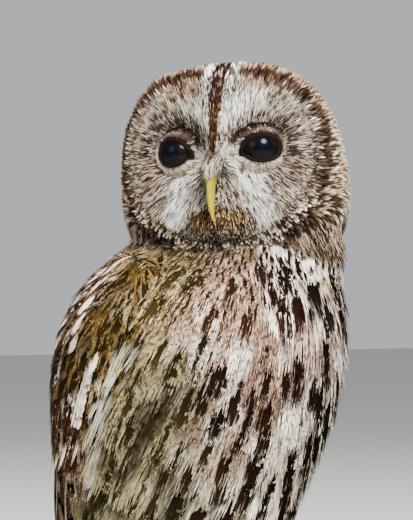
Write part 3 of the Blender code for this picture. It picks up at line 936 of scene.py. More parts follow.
def paint_head(points, look, chance):
    """Head, facial disc, crown stripe, ruff and beard."""
    local = to_head(points)
    x, y, z = local.T
    side = np.abs(x)
    reach = disc_reach(local)
    patch = noise(points, 8 * MM, 3)
    fleck = noise(points, 2.6 * MM, 5)
    clump = 0.42 * chance + 0.58 * noise(points, CHEVRON_SIZE, 9)
    top = step_mm(z, 26, 44)
    look.ground = laid_over(rgb(204, 188, 166),
                       (rgb(152, 128, 100), 0.2 + 0.6 * patch),
                       (WHITE, 0.6 * (chance > 0.80)),
                       (DARK, 0.9 * (chance < 0.38)),
                       (BROWN, 0.55 * top * (chance > 0.3) * (chance < 0.75)))
    look.mark[:] = DARK
    look.mottle[:] = 0.95
    look.bars[:] = 0.6
    look.streak = 0.30 * step(z, 0.004, -0.016)

    # the facial disc, and brown feathers at the top of it
    edge = rim_reach(local)
    inside = step(reach, edge - 0.01, edge - 0.05)
    face, pure = face_colour(local, reach, patch, clump, chance)
    look.over(inside, ground=face)
    look.mottle = look.mottle * (1 - inside) + 0.35 * inside * (1 - pure)
    look.bars = look.bars * (1 - inside) + 0.30 * inside * (1 - pure)
    low_front = np.where(x < 0, 38 * MM, 45 * MM)
    front = step_mm(z - low_front, -1.5, 2.5) * step_mm(side, 8, 10) * step_mm(side, 27, 21) * inside
    look.over(0.80 * front, ground=tint(rgb(208, 184, 158), rgb(150, 118, 88), patch))
    look.over(0.9 * front * (clump < 0.37), ground=rgb(40, 27, 20))

    # the disc's dark rim, and the paler feathers above it
    rim = step(np.abs(reach - edge + 0.018), 0.056, 0.034) * step_mm(side, 6, 10)
    rim = rim * step_mm(z, -22, -8) * step(fleck, 0.05, 0.22)
    look.over(0.95 * rim * (chance > 0.12), ground=tint(DARK, rgb(56, 34, 24), 0.9 * (chance > 0.5)))
    upper = top * step(reach, edge + 0.01, edge + 0.04) * step_mm(side, 9, 15)
    look.over(0.8 * upper * (chance > 0.46), ground=rgb(186, 160, 138))
    look.over(0.9 * upper * (chance < 0.40), ground=rgb(66, 44, 32))

    # the ruff below the face, and its dark border
    ruff = step(reach, 0.84, 0.88) * step(reach, 1.06, 1.01) * step_mm(z, 3, -4) * step_mm(y, 0, -8)
    scallop = laid_over(rgb(255, 236, 214),
                   (BLACK, 0.98 * (clump < 0.505 - 0.045 * (x > 0))),
                   (tint(BUFF, RUFOUS, 0.5 * patch), 0.9 * (chance > 0.84)))
    look.over(0.97 * ruff, ground=scallop)
    look.over(ruff, mark=BLACK, streak=0)
    look.blotch = -1.0 * (ruff > 0.4)
    border = step(np.abs(reach - 1.02), 0.06, 0.03) * step_mm(side, 19, 27) * step_mm(z, 0, -6)
    border = border * step_mm(z, -24, -18)
    look.over(0.92 * border * (chance > 0.14), ground=tint(DARK, rgb(70, 40, 26), chance > 0.6))
    look.over(0.9 * ruff, mottle=0)
    look.over(0.8 * ruff, bars=0)

    # the crown's dark stripe, white beside it
    crown = step_mm(z, 22, 27) * step_mm(y, 20, 5)
    flank = step_mm(side, 8.2, 6.2) * crown * step_mm(z, 32, 38)
    look.over(flank, ground=tint(WHITE, BLACK, 0.94 * (chance < 0.42)))
    wide = np.interp(z, (0.018, 0.030, 0.045, 0.062), (1.5 * MM, 2.1 * MM, 3.0 * MM, 3.6 * MM))
    stripe = step_mm(side - wide + 1.2 * MM * (fleck - 0.5), 0.4, -0.4)
    stripe = stripe * step_mm(z, 15, 18) * step_mm(y, 30, 10)
    herring = laid_over(DARK, (rgb(92, 54, 22), 0.9 * (chance > 0.55)), (BUFF, 0.6 * (chance > 0.88)))
    plum = laid_over(rgb(26, 17, 15),
                     (rgb(62, 43, 38), 0.9 * (chance > 0.6)),
                     (rgb(190, 164, 148), 0.85 * (chance > 0.84)))
    look.over(stripe, ground=tint(herring, plum, step_mm(z, 41, 46)))
    calm = np.maximum(stripe, flank)
    look.over(calm, mottle=0)
    look.over(0.8 * calm, bars=0)

    # the rusty beard under the bill, the chin, and painted shadow on the throat under the head
    beard = step_mm(side, 14.5, 11) * step_mm(z, -1, -4) * step_mm(z, -15, -12) * (y < 0)
    black = 0.34 + 0.22 * step_mm(side, 7, 2) * step_mm(z, -8, -11)
    rust = laid_over(rgb(122, 90, 50), (BLACK, chance < black), (CREAM, 0.85 * (chance > 0.80)))
    look.over(beard, ground=rust)
    chin = step_mm(side, 15, 11) * step_mm(z, -12.5, -15) * (y < 0)
    look.over(chin, ground=tint(rgb(240, 218, 194), BLACK, 0.97 * (clump < 0.50)))
    # painted shadow under the head: the feathers below the chin made grey and dark
    under_head_shadow = tint(rgb(128, 118, 94), rgb(34, 29, 20), (chance < 0.45) * 0.9)
    look.over(0.9 * step_mm(z, -16, -18.5) * (y < 0), ground=under_head_shadow)
    look.blotch = np.minimum(look.blotch, -1.0 * (chin > 0.5))
    look.over(0.9 * beard, mottle=0, bars=0)


def paint_body(points, look, chance):
    """Breast, belly, flanks, mantle and legs."""
    turn = turn_of(points)
    z = points[:, 2]
    patch = noise(points, PATCH_SIZE, 11)
    small = noise(points, SMALL_SIZE, 12)
    count = len(points)
    look.ground = tint(rgb(253, 243, 230), rgb(140, 106, 82), 0.10 + 0.80 * step(patch, 0.32, 0.66))
    look.mark = tint(BLACK, rgb(30, 17, 12), 0.9 * small)
    look.streak = (0.28 + 0.24 * small) * (0.55 + 0.85 * rng.random(count)) * (rng.random(count) > 0.06)
    look.bars = 0.75 * step(z, 0.10, 0.19) + 0.40
    look.mottle = 0.32 + 0.34 * step(z, 0.17, 0.23)

    # finely marked upper breast; painted green reflection and painted shade on the right shoulder
    upper = step_degrees(turn, -2, -14) * step(turn, -1.25, -1.05) * step(z, 0.205, 0.222)
    look.over(0.7 * upper, ground=tint(rgb(236, 216, 196), rgb(192, 158, 122), patch))
    look.over(0.8 * upper, mark=rgb(30, 19, 13))
    look.over(0.05 * upper, streak=0)
    look.bars = look.bars + 0.2 * upper
    look.mottle = look.mottle + 0.25 * upper
    # beside the right wing's front edge: a painted green reflection and painted shade
    shoulder = step_degrees(turn, -30, -58) * step(z, 0.165, 0.205) * step(turn, -2.3, -1.9)
    look.over(0.8 * shoulder, ground=tint(rgb(160, 138, 84), rgb(196, 176, 132), patch))
    look.over(0.85 * shoulder, mark=rgb(42, 34, 14))
    look.mottle = look.mottle + 0.3 * shoulder

    # white blobs and black drops on the breast's left side
    blobs = step_degrees(turn, -14, 0) * step(z, 0.207, 0.224) * step(turn, 2.1, 1.7)
    look.over(0.85 * blobs, ground=rgb(250, 238, 226))
    look.over(0.9 * blobs, mark=tint(BLACK, rgb(28, 15, 11), small))
    look.streak = look.streak * (1 - blobs) + 0.62 * (chance > 0.34) * (0.7 + 0.5 * small) * blobs
    look.over(0.6 * blobs, bars=0)
    look.over(0.75 * blobs, mottle=0)
    rusty = step(np.hypot(turn + 0.10, (z - 0.212) * 15), 0.42, 0.15)
    look.over(0.7 * rusty, mark=rgb(36, 17, 12))
    look.streak = look.streak + 0.10 * rusty

    # belly, the dense streaks of its left, the vent, and painted green reflection with painted shade on the
    # right flank
    belly = step(z, 0.18, 0.135)
    look.over(0.8 * belly, ground=tint(rgb(228, 220, 200), rgb(150, 142, 116), step(small, 0.42, 0.66)))
    look.over(0.45 * belly, mottle=0)
    look.over(0.25 * belly, bars=0)
    dense = step_degrees(turn, 5, 30) * step(z, 0.222, 0.205)
    look.streak = look.streak + 0.12 * dense
    look.over(0.6 * dense, mark=BLACK)
    look.over(0.8 * (step(z, 0.105, 0.085) * step(np.abs(turn), 1.6, 1.0)), streak=0)
    # on the right flank, a painted green reflection of the surroundings and painted shade: olive and darker
    green_reflection_shade = step_degrees(turn, -18, -48) * step(z, 0.222, 0.190)
    look.over(0.96 * green_reflection_shade, ground=tint(rgb(140, 132, 96), rgb(52, 46, 25), step(small, 0.32, 0.60)))
    look.over(0.9 * green_reflection_shade, mark=rgb(34, 29, 14))
    look.over(0.34 * green_reflection_shade, streak=0)

    # painted shadow under the head: the throat's front and right side made dark grey-olive
    throat = step(z, 0.236, 0.252) * step(np.abs(turn), 2.0, 1.5) * step(turn, 0.10, -0.35)
    look.over(0.75 * throat, ground=rgb(104, 98, 78))
    look.over(0.8 * throat * (chance < 0.4), ground=rgb(36, 32, 22))
    look.over(throat, mottle=0.9, streak=0.25)
    look.over(step(np.abs(turn), 1.75, 2.1), ground=tint(rgb(150, 126, 98), rgb(88, 68, 50), patch),
              mark=DARK, streak=0.24, bars=0.6, mottle=0.85)
    look.over(step(z, 0.066, 0.050) * (np.abs(turn) < 2.9),
              ground=rgb(226, 212, 188), mark=BROWN, streak=0, bars=0.12, mottle=0.35)


def paint_wing(points, look, chance):
    """Scapulars, coverts and the folded flight feathers."""
    patch = noise(points, 12 * MM, 21)
    front = step(wing_share(points), 0.36, 0.16) * step(points[:, 2], 0.175, 0.195)
    # at the wing's front, where it meets the breast, its olive tint and darker marks are a painted green
    # reflection and painted shade
    look.ground = laid_over(rgb(168, 146, 118),
                       (rgb(74, 56, 40), 0.1 + 0.9 * patch),
                       (WHITE, 0.70 * (chance > 0.80)),
                       (tint(rgb(140, 116, 58), rgb(72, 60, 26), patch), 0.85 * front))
    look.mark = tint(BLACK, tint(BROWN, rgb(44, 38, 14), front), 0.5 * patch)
    look.streak = 0.26 + 0.16 * patch
    look.bars[:] = 0.9
    look.mottle[:] = 1.0


def paint(points, nodes, chance):
    """The look of a feather, or of bare skin, at each place on the nodes of these numbers."""
    kinds = KIND_OF[nodes]
    look = Look(len(points))
    painters = ((HEAD_KINDS, paint_head), (WING_KINDS, paint_wing), (BODY_KINDS, paint_body))
    for names, painter in painters:
        chosen = np.isin(kinds, names)
        if not chosen.any():
            continue
        part = look.take(chosen)
        painter(points[chosen], part, chance[chosen])
        for key, values in vars(part).items():
            getattr(look, key)[chosen] = values
    return look


# ---------------------------------------------------------------- the skin piece

def make_skin():
    """The skin's mesh with its map and markings."""
    mesh = new_mesh("skin", skin.points, skin.corners)
    piece = show("skin", mesh, SKIN, "body_plumage", FLESH)
    bpy.context.view_layer.objects.active = piece
    piece.select_set(True)
    mesh.uv_layers.new(name="OFBake")
    bpy.ops.object.mode_set(mode="EDIT")
    bpy.ops.mesh.select_all(action="SELECT")
    bpy.ops.uv.smart_project(angle_limit=math.radians(66), island_margin=0.003)
    bpy.ops.object.mode_set(mode="OBJECT")
    piece.select_set(False)
    skin.map = read(mesh.uv_layers["OFBake"].uv, "vector", 2).reshape(-1, 3, 2).mean(1)
    look = paint(skin.points, skin.owner, np.full(len(skin.points), 0.5))
    put_attribute(mesh, "ground", look.ground)
    put_attribute(mesh, "mark", look.mark)
    put_attribute(mesh, "amount", np.clip(look.mottle + look.bars * 0.5, 0, 1))


make_skin()


# ---------------------------------------------------------------- tracts

BODY_COAT = "body_plumage", ["trunk", "neck", "thigh_left", "thigh_right"]
HEAD_COAT = "head_plumage", ["head"]
FACE_COAT = "face_plumage", ["face_disc_left", "face_disc_right"]
WING_COAT = "wing_plumage", ["wing_left", "wing_right"]
TAIL_COAT = "tail_plumage", ["tail"]
LEG_COAT = "leg_plumage", [name for name, kind in zip(FLESH, KIND_OF) if kind in LEG_KINDS]
COLUMN_GAP, COLUMN_STRIDE = 10.5 * MM, 11.5 * MM        # between the breast's streaks, and along them
BREAST_TOP, BREAST_BOTTOM = 0.262, 0.072
WING_TOP = 0.2495
PATCH_SHARE = 0.72           # where along a covert its pale patch lies


def random_mm(count, low, spread):
    """Random lengths from low, spread that far, in millimetres."""
    return (low + spread * rng.random(count)) * MM


def only(roots, chosen):
    return tuple(values[chosen] for values in roots)


def seeds(count, spacing, wanted, keep=None):
    """Roots scattered where wanted allows and thinned by keep, with a random number for each."""
    roots = skin.scatter(count, spacing * MM, wanted)
    if keep is not None:
        roots = only(roots, keep(roots[0]))
    return roots, rng.random(len(roots[0]))


def painted(roots, chance, laid=None, knot=0):
    """The look at the roots, or at a knot of the curves laid from them."""
    place, _, index = roots
    return paint(place if laid is None else laid[0][:, knot], skin.nodes_at(index), chance)


def fans(count, *shape, **settings):
    return [fan(*shape, **settings) for _ in range(count)]


def columns_spread(turns, phases, radius):
    """Columns of roots without those that ran together, and with new ones in wide gaps."""
    keep, last = [], None
    for turn, phase, size in zip(turns, phases, radius):
        gap = (turn - last) * size if last is not None else COLUMN_GAP
        if gap < 0.62 * COLUMN_GAP:
            continue
        if gap > 1.6 * COLUMN_GAP:
            keep.append(((turn + last) / 2, (phase + 0.25) % 1.0))
        keep.append((turn, phase))
        last = turn
    return np.array(keep).T


def breast_columns():
    """Roots in staggered columns that follow the breast's streaks."""
    turns = np.radians(np.arange(-176, 180, 10.0))
    phases = np.arange(len(turns)) % 2 * 0.5
    roots = []
    height = BREAST_TOP
    while height > BREAST_BOTTOM:
        level = height - phases * COLUMN_STRIDE
        none = np.zeros(len(turns))
        axis = np.stack([none, body_axis(level), level], 1)
        place, normal, index, found = skin.shoot(axis, np.stack([np.sin(turns), -np.cos(turns), none], 1))
        turns, phases = turns[found], phases[found]
        roots.append((place, normal, index))
        radius = np.linalg.norm((place - axis[found])[:, :2], axis=1)
        drift = breast_drift(turns) * step(np.abs(turns), 2.6, 1.9)
        turns, phases = columns_spread(turns + drift * COLUMN_STRIDE / radius, phases, radius)
        height -= COLUMN_STRIDE
    return [np.concatenate(parts) for parts in zip(*roots)]


def tract_breast():
    """Large contour feathers of breast, belly, flanks, mantle and rump."""
    place, _, index = breast_columns()
    place = place[np.isin(FACE_KIND[index], TRUNK_KINDS)]
    roots = skin.near(place + rng.normal(size=place.shape) * 1.7 * MM)
    count = len(place)
    chance = rng.random(count)
    vanes = fans(8, 38, 6, 0.38, overlap=2.5, lift=0.05, roll=0.16, curl=0.38)
    laid = walk(roots, random_mm(count, 27, 7))
    look = painted(roots, chance, laid, 4)
    half = random_mm(count, 8.0, 1.6)
    grow("breast", laid, half, vanes, look, BODY_COAT, rise=(0.10, 1.0), proud=random_mm(count, 0.3, 1.0))
    return laid, half, look


def tract_down():
    """Small soft feathers under and between the large ones."""
    roots, chance = seeds(7000, 5.0, np.isin(FACE_KIND, TRUNK_KINDS))
    count = len(chance)
    look = painted(roots, chance)
    look.streak = look.streak * 0.6 * (chance > 0.6)
    vanes = fans(5, 11, 4, 0.5, overlap=1.2, lift=0.25)
    grow("down", walk(roots, random_mm(count, 17, 6)), random_mm(count, 4.4, 1.2), vanes, look, BODY_COAT,
         rise=(0.04, 0.62), camber=0.1)


def tract_strands(curves, half, under):
    """Loose strands over the large feathers, in the colour of what they lie on."""
    roots, chance = seeds(30000, 3.0, np.isin(FACE_KIND, TRUNK_KINDS) & (centroid[:, 2] < 0.243))
    count = len(chance)
    wander = rng.normal(size=(count, 3)) * 0.32
    laid = walk(roots, random_mm(count, 9, 7), 5, turn=wander)
    look = painted(roots, chance, laid, 3)
    knots = curves[0][:, 3:6].reshape(-1, 3)
    along = np.gradient(curves[0], axis=1)[:, 3:6].reshape(-1, 3)
    across = unit(np.cross(along, curves[1][:, 3:6].reshape(-1, 3)))
    tree = KDTree(len(knots))
    for number, knot in enumerate(knots.tolist()):
        tree.insert(knot, number)
    tree.balance()
    tips = laid[0][:, 3]
    nearest = np.array([tree.find(tip)[1] for tip in tips.tolist()])
    feather = nearest // 3
    u = np.sum((tips - knots[nearest]) * across[nearest], axis=1) / half[feather]
    dark = np.abs(u) < under.streak[feather] * (0.75 + 0.7 * rng.random(count))
    pale = tint(under.ground[feather], WHITE, 0.16 * (chance > 0.5))
    look.ground = np.where(dark[:, None], under.mark[feather], pale)
    look.streak[:] = 0
    look.bars = under.bars[feather] * 0.5 * ~dark
    look.mottle = look.mottle * 0.3 * ~dark
    vanes = fans(8, 3, 4, 0.7, overlap=0.40, lift=0.6, curl=1.6)
    grow("strands", laid, 0.85 * MM, vanes, look, BODY_COAT, rise=(0.3, 1.0),
         proud=random_mm(count, 0.8, 1.6), camber=0.0)


def off_breast(place):
    """Beside, behind or above the large feathers of the breast."""
    turn = turn_of(place)
    return (turn < -0.08) | (np.abs(turn) > 1.9) | (place[:, 2] > 0.247)


def tract_shoulders():
    """Small feathers where the throat, the shoulders and the tops of the wings meet."""
    groups = (("throat", ("trunk", "neck"), 0.232, 3.0, BODY_COAT, off_breast),
              ("shoulders", ("wing",), 0.222, 3.2, WING_COAT, None))
    for name, kinds, bottom, half, coat, keep in groups:
        roots, chance = seeds(9000, 2.6, np.isin(FACE_KIND, kinds) & (centroid[:, 2] > bottom), keep)
        count = len(chance)
        high = step(roots[0][:, 2], bottom, bottom + 0.015)
        laid = walk(roots, (15 - 5 * high + 2 * rng.random(count)) * MM)
        look = painted(roots, chance, laid, 4)
        look.streak = look.streak * 0.8
        vanes = fans(5, 13, 4, 0.32, overlap=1.7, lift=0.12)
        grow(name, laid, half * MM * (0.8 + 0.3 * rng.random(count)), vanes, look, coat, rise=(0.08, 0.95),
             proud=0.3 * MM)


def tract_head():
    """Small feathers of crown, sides, nape and ruff."""
    local = to_head(centroid)
    wanted = np.isin(FACE_KIND, HEAD_KINDS) & (disc_reach(local) > rim_reach(local) - 0.08)
    roots, chance = seeds(80000, 1.06, wanted)
    count = len(chance)
    look = painted(roots, chance)
    vanes = fans(8, 4, 3, 0.4, overlap=1.3, lift=0.2)
    local = to_head(roots[0])
    x, y, z = local.T
    nape = step_mm(y, -5, 20)
    low = step_mm(z, -4, -16) * step(disc_reach(local), 1.0, 1.1)
    low = np.maximum(low, 0.75 * step_mm(z, -15.5, -19.5))
    length = (3.9 + 3.2 * nape + 6.0 * low + 1.2 * rng.random(count)) * MM
    laid = walk(roots, length, free=0.85 * low, turn=np.array([0, 0, -1.2]) * low[:, None])
    brow = step_mm(x, -18, -30) * step_mm(z, 38, 50)
    grow("crown", laid, (0.66 + 0.50 * nape + 0.35 * low) * MM, vanes, look, HEAD_COAT, rise=(0.10, 1.05),
         proud=(0.3 + 1.8 * brow + 0.5 * rng.random(count)) * MM)


def tract_face():
    """Fine strands of the facial disc, spreading from the eyes."""
    local = to_head(centroid)
    wanted = np.isin(FACE_KIND, HEAD_KINDS) & (disc_reach(local) < rim_reach(local) - 0.035)
    roots, chance = seeds(170000, 0.50, wanted & (eye_distance(local, 1.25) > 6.6 * MM))
    count = len(chance)
    look = painted(roots, chance)
    local = to_head(roots[0])
    side, z = np.abs(local[:, 0]), local[:, 2]
    vanes = fans(6, 2, 4, 0.5, overlap=0.62, lift=0.5)
    beard = step_mm(side, 17, 13) * step_mm(z, 0, -4)
    length = random_mm(count, 4.2, 2.8) * (1 - 0.35 * step_mm(side, 6, 3))
    length = length * (1 - 0.6 * step(disc_reach(local), 0.72, 0.90))
    hood = step_mm(eye_distance(local), 14, 12.6) * step_mm(z, 18, 22)
    length = length * (1 - 0.35 * beard) * (1 - 0.62 * hood)
    half = (0.19 + 0.10 * rng.random(count) + 0.12 * beard) * MM
    grow("disc", walk(roots, length), half, vanes, look, FACE_COAT, rise=(0.10, 1.0),
         proud=random_mm(count, 0.2, 0.5), camber=0.0)


def tract_hairs():
    """Thin dark hairs that spread over the facial disc."""
    local = to_head(centroid)
    wanted = np.isin(FACE_KIND, HEAD_KINDS) & (disc_reach(local) < rim_reach(local) - 0.07)
    roots, chance = seeds(60000, 0.66, wanted & (eye_distance(local) > 9.5 * MM),
                          lambda place: rng.random(len(place)) < 0.9 - 0.55 * white_face(to_head(place)))
    count = len(chance)
    outer = step(disc_reach(to_head(roots[0])), 0.55, 0.85)
    look = Look(count)
    look.ground = tint(rgb(16, 11, 8), rgb(66, 48, 37), 0.8 * chance)
    length = random_mm(count, 4.0, 3.0) * (1 - 0.40 * outer)
    vanes = fans(8, 1, 5, 0.4, overlap=1.0, lift=0.2, curl=3.0)
    grow("hairs", walk(roots, length), 0.18 * MM, vanes, look, FACE_COAT, rise=(0.3, 1.0),
         proud=random_mm(count, 0.3, 0.4), camber=0.0)


def tract_bristles():
    """Stiff bristles that fan from the top of the bill over its sides and the lores."""
    count, knots = 900, 6
    side = np.where(np.arange(count) % 2, 1.0, -1.0)
    turn = np.radians(4 + 84 * rng.random(count))
    reach = random_mm(count, 1.2, 5.0)
    height = 15 * MM - reach * np.cos(turn) * 1.5
    local = np.stack([side * reach * np.sin(turn), np.full(count, -0.06), height], 1)
    backward = HEAD[1]
    hits = [skin.tree.ray_cast(start, backward.tolist()) for start in from_head(local).tolist()]
    place, _, index = skin.settle(hits)
    ahead = -0.35 - 0.45 * rng.random(count)
    flow = np.stack([side * np.sin(turn), ahead, -np.cos(turn) * 1.1 - 0.3], 1) @ HEAD
    length = random_mm(count, 5.5, 6)
    share = np.linspace(0, 1, knots)[None, :, None]
    curve = place[:, None] + unit(flow)[:, None] * share * length[:, None, None]
    curve = curve + backward * (share ** 2 * 2.0 * MM)
    chance = rng.random(count)
    look = Look(count)
    look.ground = tint(rgb(206, 194, 172), rgb(40, 32, 24), (chance < 0.55) * 0.95)
    laid = curve, np.tile(-backward, (count, knots, 1)), np.full((count, knots), 0.4 * MM), index
    grow("bristles", laid, 0.30 * MM, fans(5, 2, 5, 0.5, overlap=0.5, lift=0.6), look, FACE_COAT, camber=0.0)


def tract_cere():
    """Short feathers of the forehead that cover the top of the bill."""
    count, knots = 760, 6
    x = rng.normal(size=count) * 1.35 * MM
    start = np.stack([x * 1.3, np.full(count, -27.5 * MM), random_mm(count, 15, 6)], 1)
    low = 6.4 * MM + 4.6 * MM * rng.random(count) + 0.25 * np.abs(x)
    ridge = np.interp(low, (0.004, 0.006, 0.008, 0.012, 0.016), (-0.0456, -0.0450, -0.0440, -0.0405, -0.0370))
    end = np.stack([x * 1.1, ridge + 0.9 * np.abs(x), low], 1)
    share = np.linspace(0, 1, knots)[None, :, None]
    local = start[:, None] * (1 - share) + end[:, None] * share
    bulge = share[:, :, 0] * (1 - share[:, :, 0])
    local[:, :, 1] -= bulge * (17 * MM + 4 * MM * rng.random((count, 1)))
    local[:, :, 2] += bulge * 3.0 * MM
    curve = from_head(local.reshape(-1, 3)).reshape(count, knots, 3)
    facing = np.tile(unit(np.array([0, -0.75, 0.65]) @ HEAD), (count, knots, 1))
    _, _, index = skin.near(curve[:, 0])
    chance = rng.random(count)
    look = Look(count)
    look.ground = tint(rgb(200, 186, 164), rgb(34, 25, 19), (chance < 0.60) * 0.94)
    grow("cere", (curve, facing, np.full((count, knots), 0.3 * MM), index), 0.42 * MM,
         fans(6, 3, 4, 0.5, overlap=0.7, lift=0.4, curl=0.8), look, FACE_COAT, camber=0.0)


def wing_roots(side, shares, heights):
    """Roots at places across and up the folded wing, and which of them were found."""
    middle, front, back = wing_axis(heights)
    turn = np.radians(front + shares * (back - front))
    none = np.zeros(len(turn))
    outward = np.stack([side * np.sin(turn), -np.cos(turn), none], 1)
    return skin.shoot(np.stack([none, middle, heights], 1), outward)


def tract_coverts():
    """Scapulars and wing coverts in rows."""
    roots, chance = seeds(12000, 4.6, FACE_KIND == "wing",
                          lambda place: place[:, 2] > 0.166 + 0.012 * wing_share(place))
    count = len(chance)
    shoulder = step(roots[0][:, 2], 0.235, 0.175)
    laid = walk(roots, (16 + 9 * shoulder + 3 * rng.random(count)) * MM)
    look = painted(roots, chance, laid, 4)
    vanes = fans(5, 27, 4, 0.16, point=0.5, overlap=1.6)
    grow("coverts", laid, (4.8 + 2.4 * shoulder + 0.8 * rng.random(count)) * MM, vanes, look, WING_COAT,
         proud=0.5 * MM)


def laid_on_wing(side, shares, heights, length):
    """Curves down the folded wing whose pale patch is at the given share and height."""
    levels = [np.minimum(heights + length * (PATCH_SHARE - t), WING_TOP) for t in np.linspace(0, 1, 6)]
    place, normal, index, _ = zip(*(wing_roots(side, shares, level) for level in levels))
    depths = np.stack([skin.depth_at(row) for row in index], 1)
    return np.stack(place, 1), np.stack(normal, 1), depths, index[0]


def tract_patches():
    """The pale scapular rows, the pale covert line and the slivers below it."""
    rows = (        # name, share and its step, height and its step, count, length, half width, blotch
        ("scapulars", 0.375, -0.035, 0.2440, 0.0085, 5, 23, 6.0, 1.0),
        ("outer_scapulars", 0.46, -0.02, 0.2395, 0.0095, 4, 24, 5.4, 1.0),
        ("covert_line", 0.095, 0.002, 0.2010, 0.0050, 6, 22, 8.2, 1.0),
        ("slivers", 0.085, 0.078, 0.1600, 0.0030, 4, 24, 2.2, 3.0),
    )
    vanes = fans(3, 21, 5, 0.12, point=0.5, overlap=1.8, curl=0.1)
    for name, share, turn, top, drop, count, length, half, patch in rows:
        for side_name, side in SIDES.items():
            number = np.arange(count)
            laid = laid_on_wing(side, share + turn * number, top - drop * number, length * MM)
            look = paint(laid[0][:, 4], skin.nodes_at(laid[3]), rng.random(count) * 0.7)
            look.blotch[:] = patch
            look.streak[:] = 0
            grow(f"{name}_{side_name}", laid, half * MM * (0.62 + 0.38 * number / (count - 1)), vanes, look,
                 ("wing_plumage", ["wing_" + side_name]), rise=(0.2, 1.0), proud=0.9 * MM * patch, camber=0.2)


def tract_wisps():
    """Loose pale tufts of the flanks that hang over the front edge of the wings."""
    for side_name, side in SIDES.items():
        count = 46
        heights = 0.150 + 0.064 * rng.random(count)
        *roots, _ = wing_roots(side, -0.10 + 0.13 * rng.random(count), heights)
        count = len(roots[0])
        chance = rng.random(count)
        back = np.array([side * 0.10, 0.75, 0.0]) * rng.random((count, 1))
        laid = walk(roots, random_mm(count, 10, 10), free=0.35, turn=back)
        look = Look(count)
        look.ground = tint(WHITE, rgb(190, 178, 140), chance)
        look.mottle[:] = 0.2
        vanes = fans(5, 7, 5, 0.6, overlap=0.34, lift=0.5, curl=1.2)
        grow(f"wisps_{side_name}", laid, 1.7 * MM, vanes, look, ("body_plumage", ["trunk"]), rise=(0.5, 1.0),
             proud=random_mm(count, 1.2, 1.6), camber=0.0)


def trimmed(curve, normals, depths, index):
    """The same curves, ended where the skin first turns sharply."""
    knots = curve.shape[1]
    bend = np.sum(normals[:, 1:] * normals[:, :-1], axis=2)
    bend[:, :4] = 1
    sharp = bend < 0.90
    last = np.where(sharp.any(1), sharp.argmax(1), knots - 1)
    for row, stop in enumerate(last):
        place = np.linspace(0, stop, knots)
        for values in (curve, normals, depths[:, :, None]):
            columns = values[row].T
            values[row] = np.stack([np.interp(place, np.arange(knots), column) for column in columns], 1)
    return curve, normals, depths, index


def tract_lining():
    """Small feathers under the folded wings, where the flight feathers leave the skin bare."""
    share, height = wing_share(centroid), centroid[:, 2]
    down = skin.normals[skin.corners].sum(1)[:, 2] < -0.6
    low = (FACE_KIND == "flight") & (height < 0.092)
    edge = np.isin(FACE_KIND, WING_KINDS) & (height < 0.172) & ((share < 0.05) | (share > 0.97) | down)
    roots, chance = seeds(7000, 2.8, (low | edge) & ~on_tail(centroid))
    look = painted(roots, chance)
    look.over(0.55 * (chance > 0.35), ground=rgb(178, 158, 128))
    look.streak = look.streak * 0.5
    vanes = fans(4, 9, 4, 0.3, overlap=1.4, lift=0.1)
    grow("lining", walk(roots, 10 * MM), 2.9 * MM, vanes, look, WING_COAT, rise=(0.1, 0.9), proud=0.2 * MM)


def tract_flight():
    """Primaries, secondaries and tertials, laid over each other along the folded wing."""
    share = np.arange(15) / 14
    tops = 0.168 + 0.020 * np.array([math.sin(turn) for turn in share * math.pi]) - 0.012 * share
    for name, side in SIDES.items():
        for layer, (drop, cut) in enumerate(((0.0, 1.0), (0.022, 0.80), (0.046, 0.62))):
            *roots, found = wing_roots(side, 0.03 + 0.94 * share, tops - drop)
            count = len(roots[0])
            chance = rng.random(count)
            look = painted(roots, chance)
            look.ground = tint(rgb(122, 98, 74), rgb(64, 50, 38), 0.4 + 0.5 * chance)
            look.mark[:] = rgb(20, 14, 11)
            look.bars[:], look.streak[:], look.mottle[:], look.blotch[:] = 2.0, 0.0, 0.25, 2.0
            vanes = [quill(100) for _ in range(3)]
            laid = trimmed(*walk(roots, (0.125 - 0.040 * share)[found] * cut, 12))
            grow(f"flight_{name}_{layer + 1}", laid, ((7.0 + 3.5 * share) * MM)[found], vanes, look,
                 ("wing_plumage", [f"flight_feathers_{name}"]), rise=(0.2, 1.0 + 0.25 * layer),
                 proud=0.4 * MM, camber=0.10, slant=0.10 * side)


def tract_tail():
    """Twelve feathers above and twelve below, fanned a little, the middle pair on top."""
    low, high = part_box("tail")
    start_y, end_y = low[1] + 0.010, high[1] - 0.003
    start_z, end_z = high[2] - 0.012, low[2] + 0.002
    share = np.linspace(0, 1, 10)
    curves, facing, roots = [], [], []
    for surface in (1, -1):
        away = np.array([0, 0.6, 0.8]) * surface
        for number in range(6):
            for side in (-1, 1):
                x = side * (0.0022 + 0.0042 * number)
                line = np.stack([x * (0.55 + 0.5 * share), start_y + (end_y - start_y) * share,
                                 start_z + (end_z - start_z) * share], 1)
                starts = (line + away * 0.05).tolist()
                hits = [skin.tree.ray_cast(start, (-away).tolist()) for start in starts]
                place, normal, index = skin.settle([
                    hit if hit[0] is not None else skin.tree.find_nearest(point.tolist())
                    for hit, point in zip(hits, line)])
                curves.append(place)
                facing.append(unit(normal * 0.3 + away * 0.7))
                roots.append(index[0])
    curve = np.stack(curves)
    order = np.tile(np.repeat(np.arange(6), 2), 2)
    depths = np.full(curve.shape[:2], 0.0010) + (0.0012 * (1 - order / 6))[:, None]
    look = Look(len(curve))
    look.ground = tint(rgb(156, 126, 92), rgb(196, 176, 146), (order > 1) * 0.6)
    look.bars = 0.85 + 1.1 * (order > 0)
    look.mottle[:] = 0.6
    grow("tail_feathers", (curve, np.stack(facing), depths, np.array(roots)), 0.0085,
         [quill(90) for _ in range(3)], look, TAIL_COAT, camber=0.06)


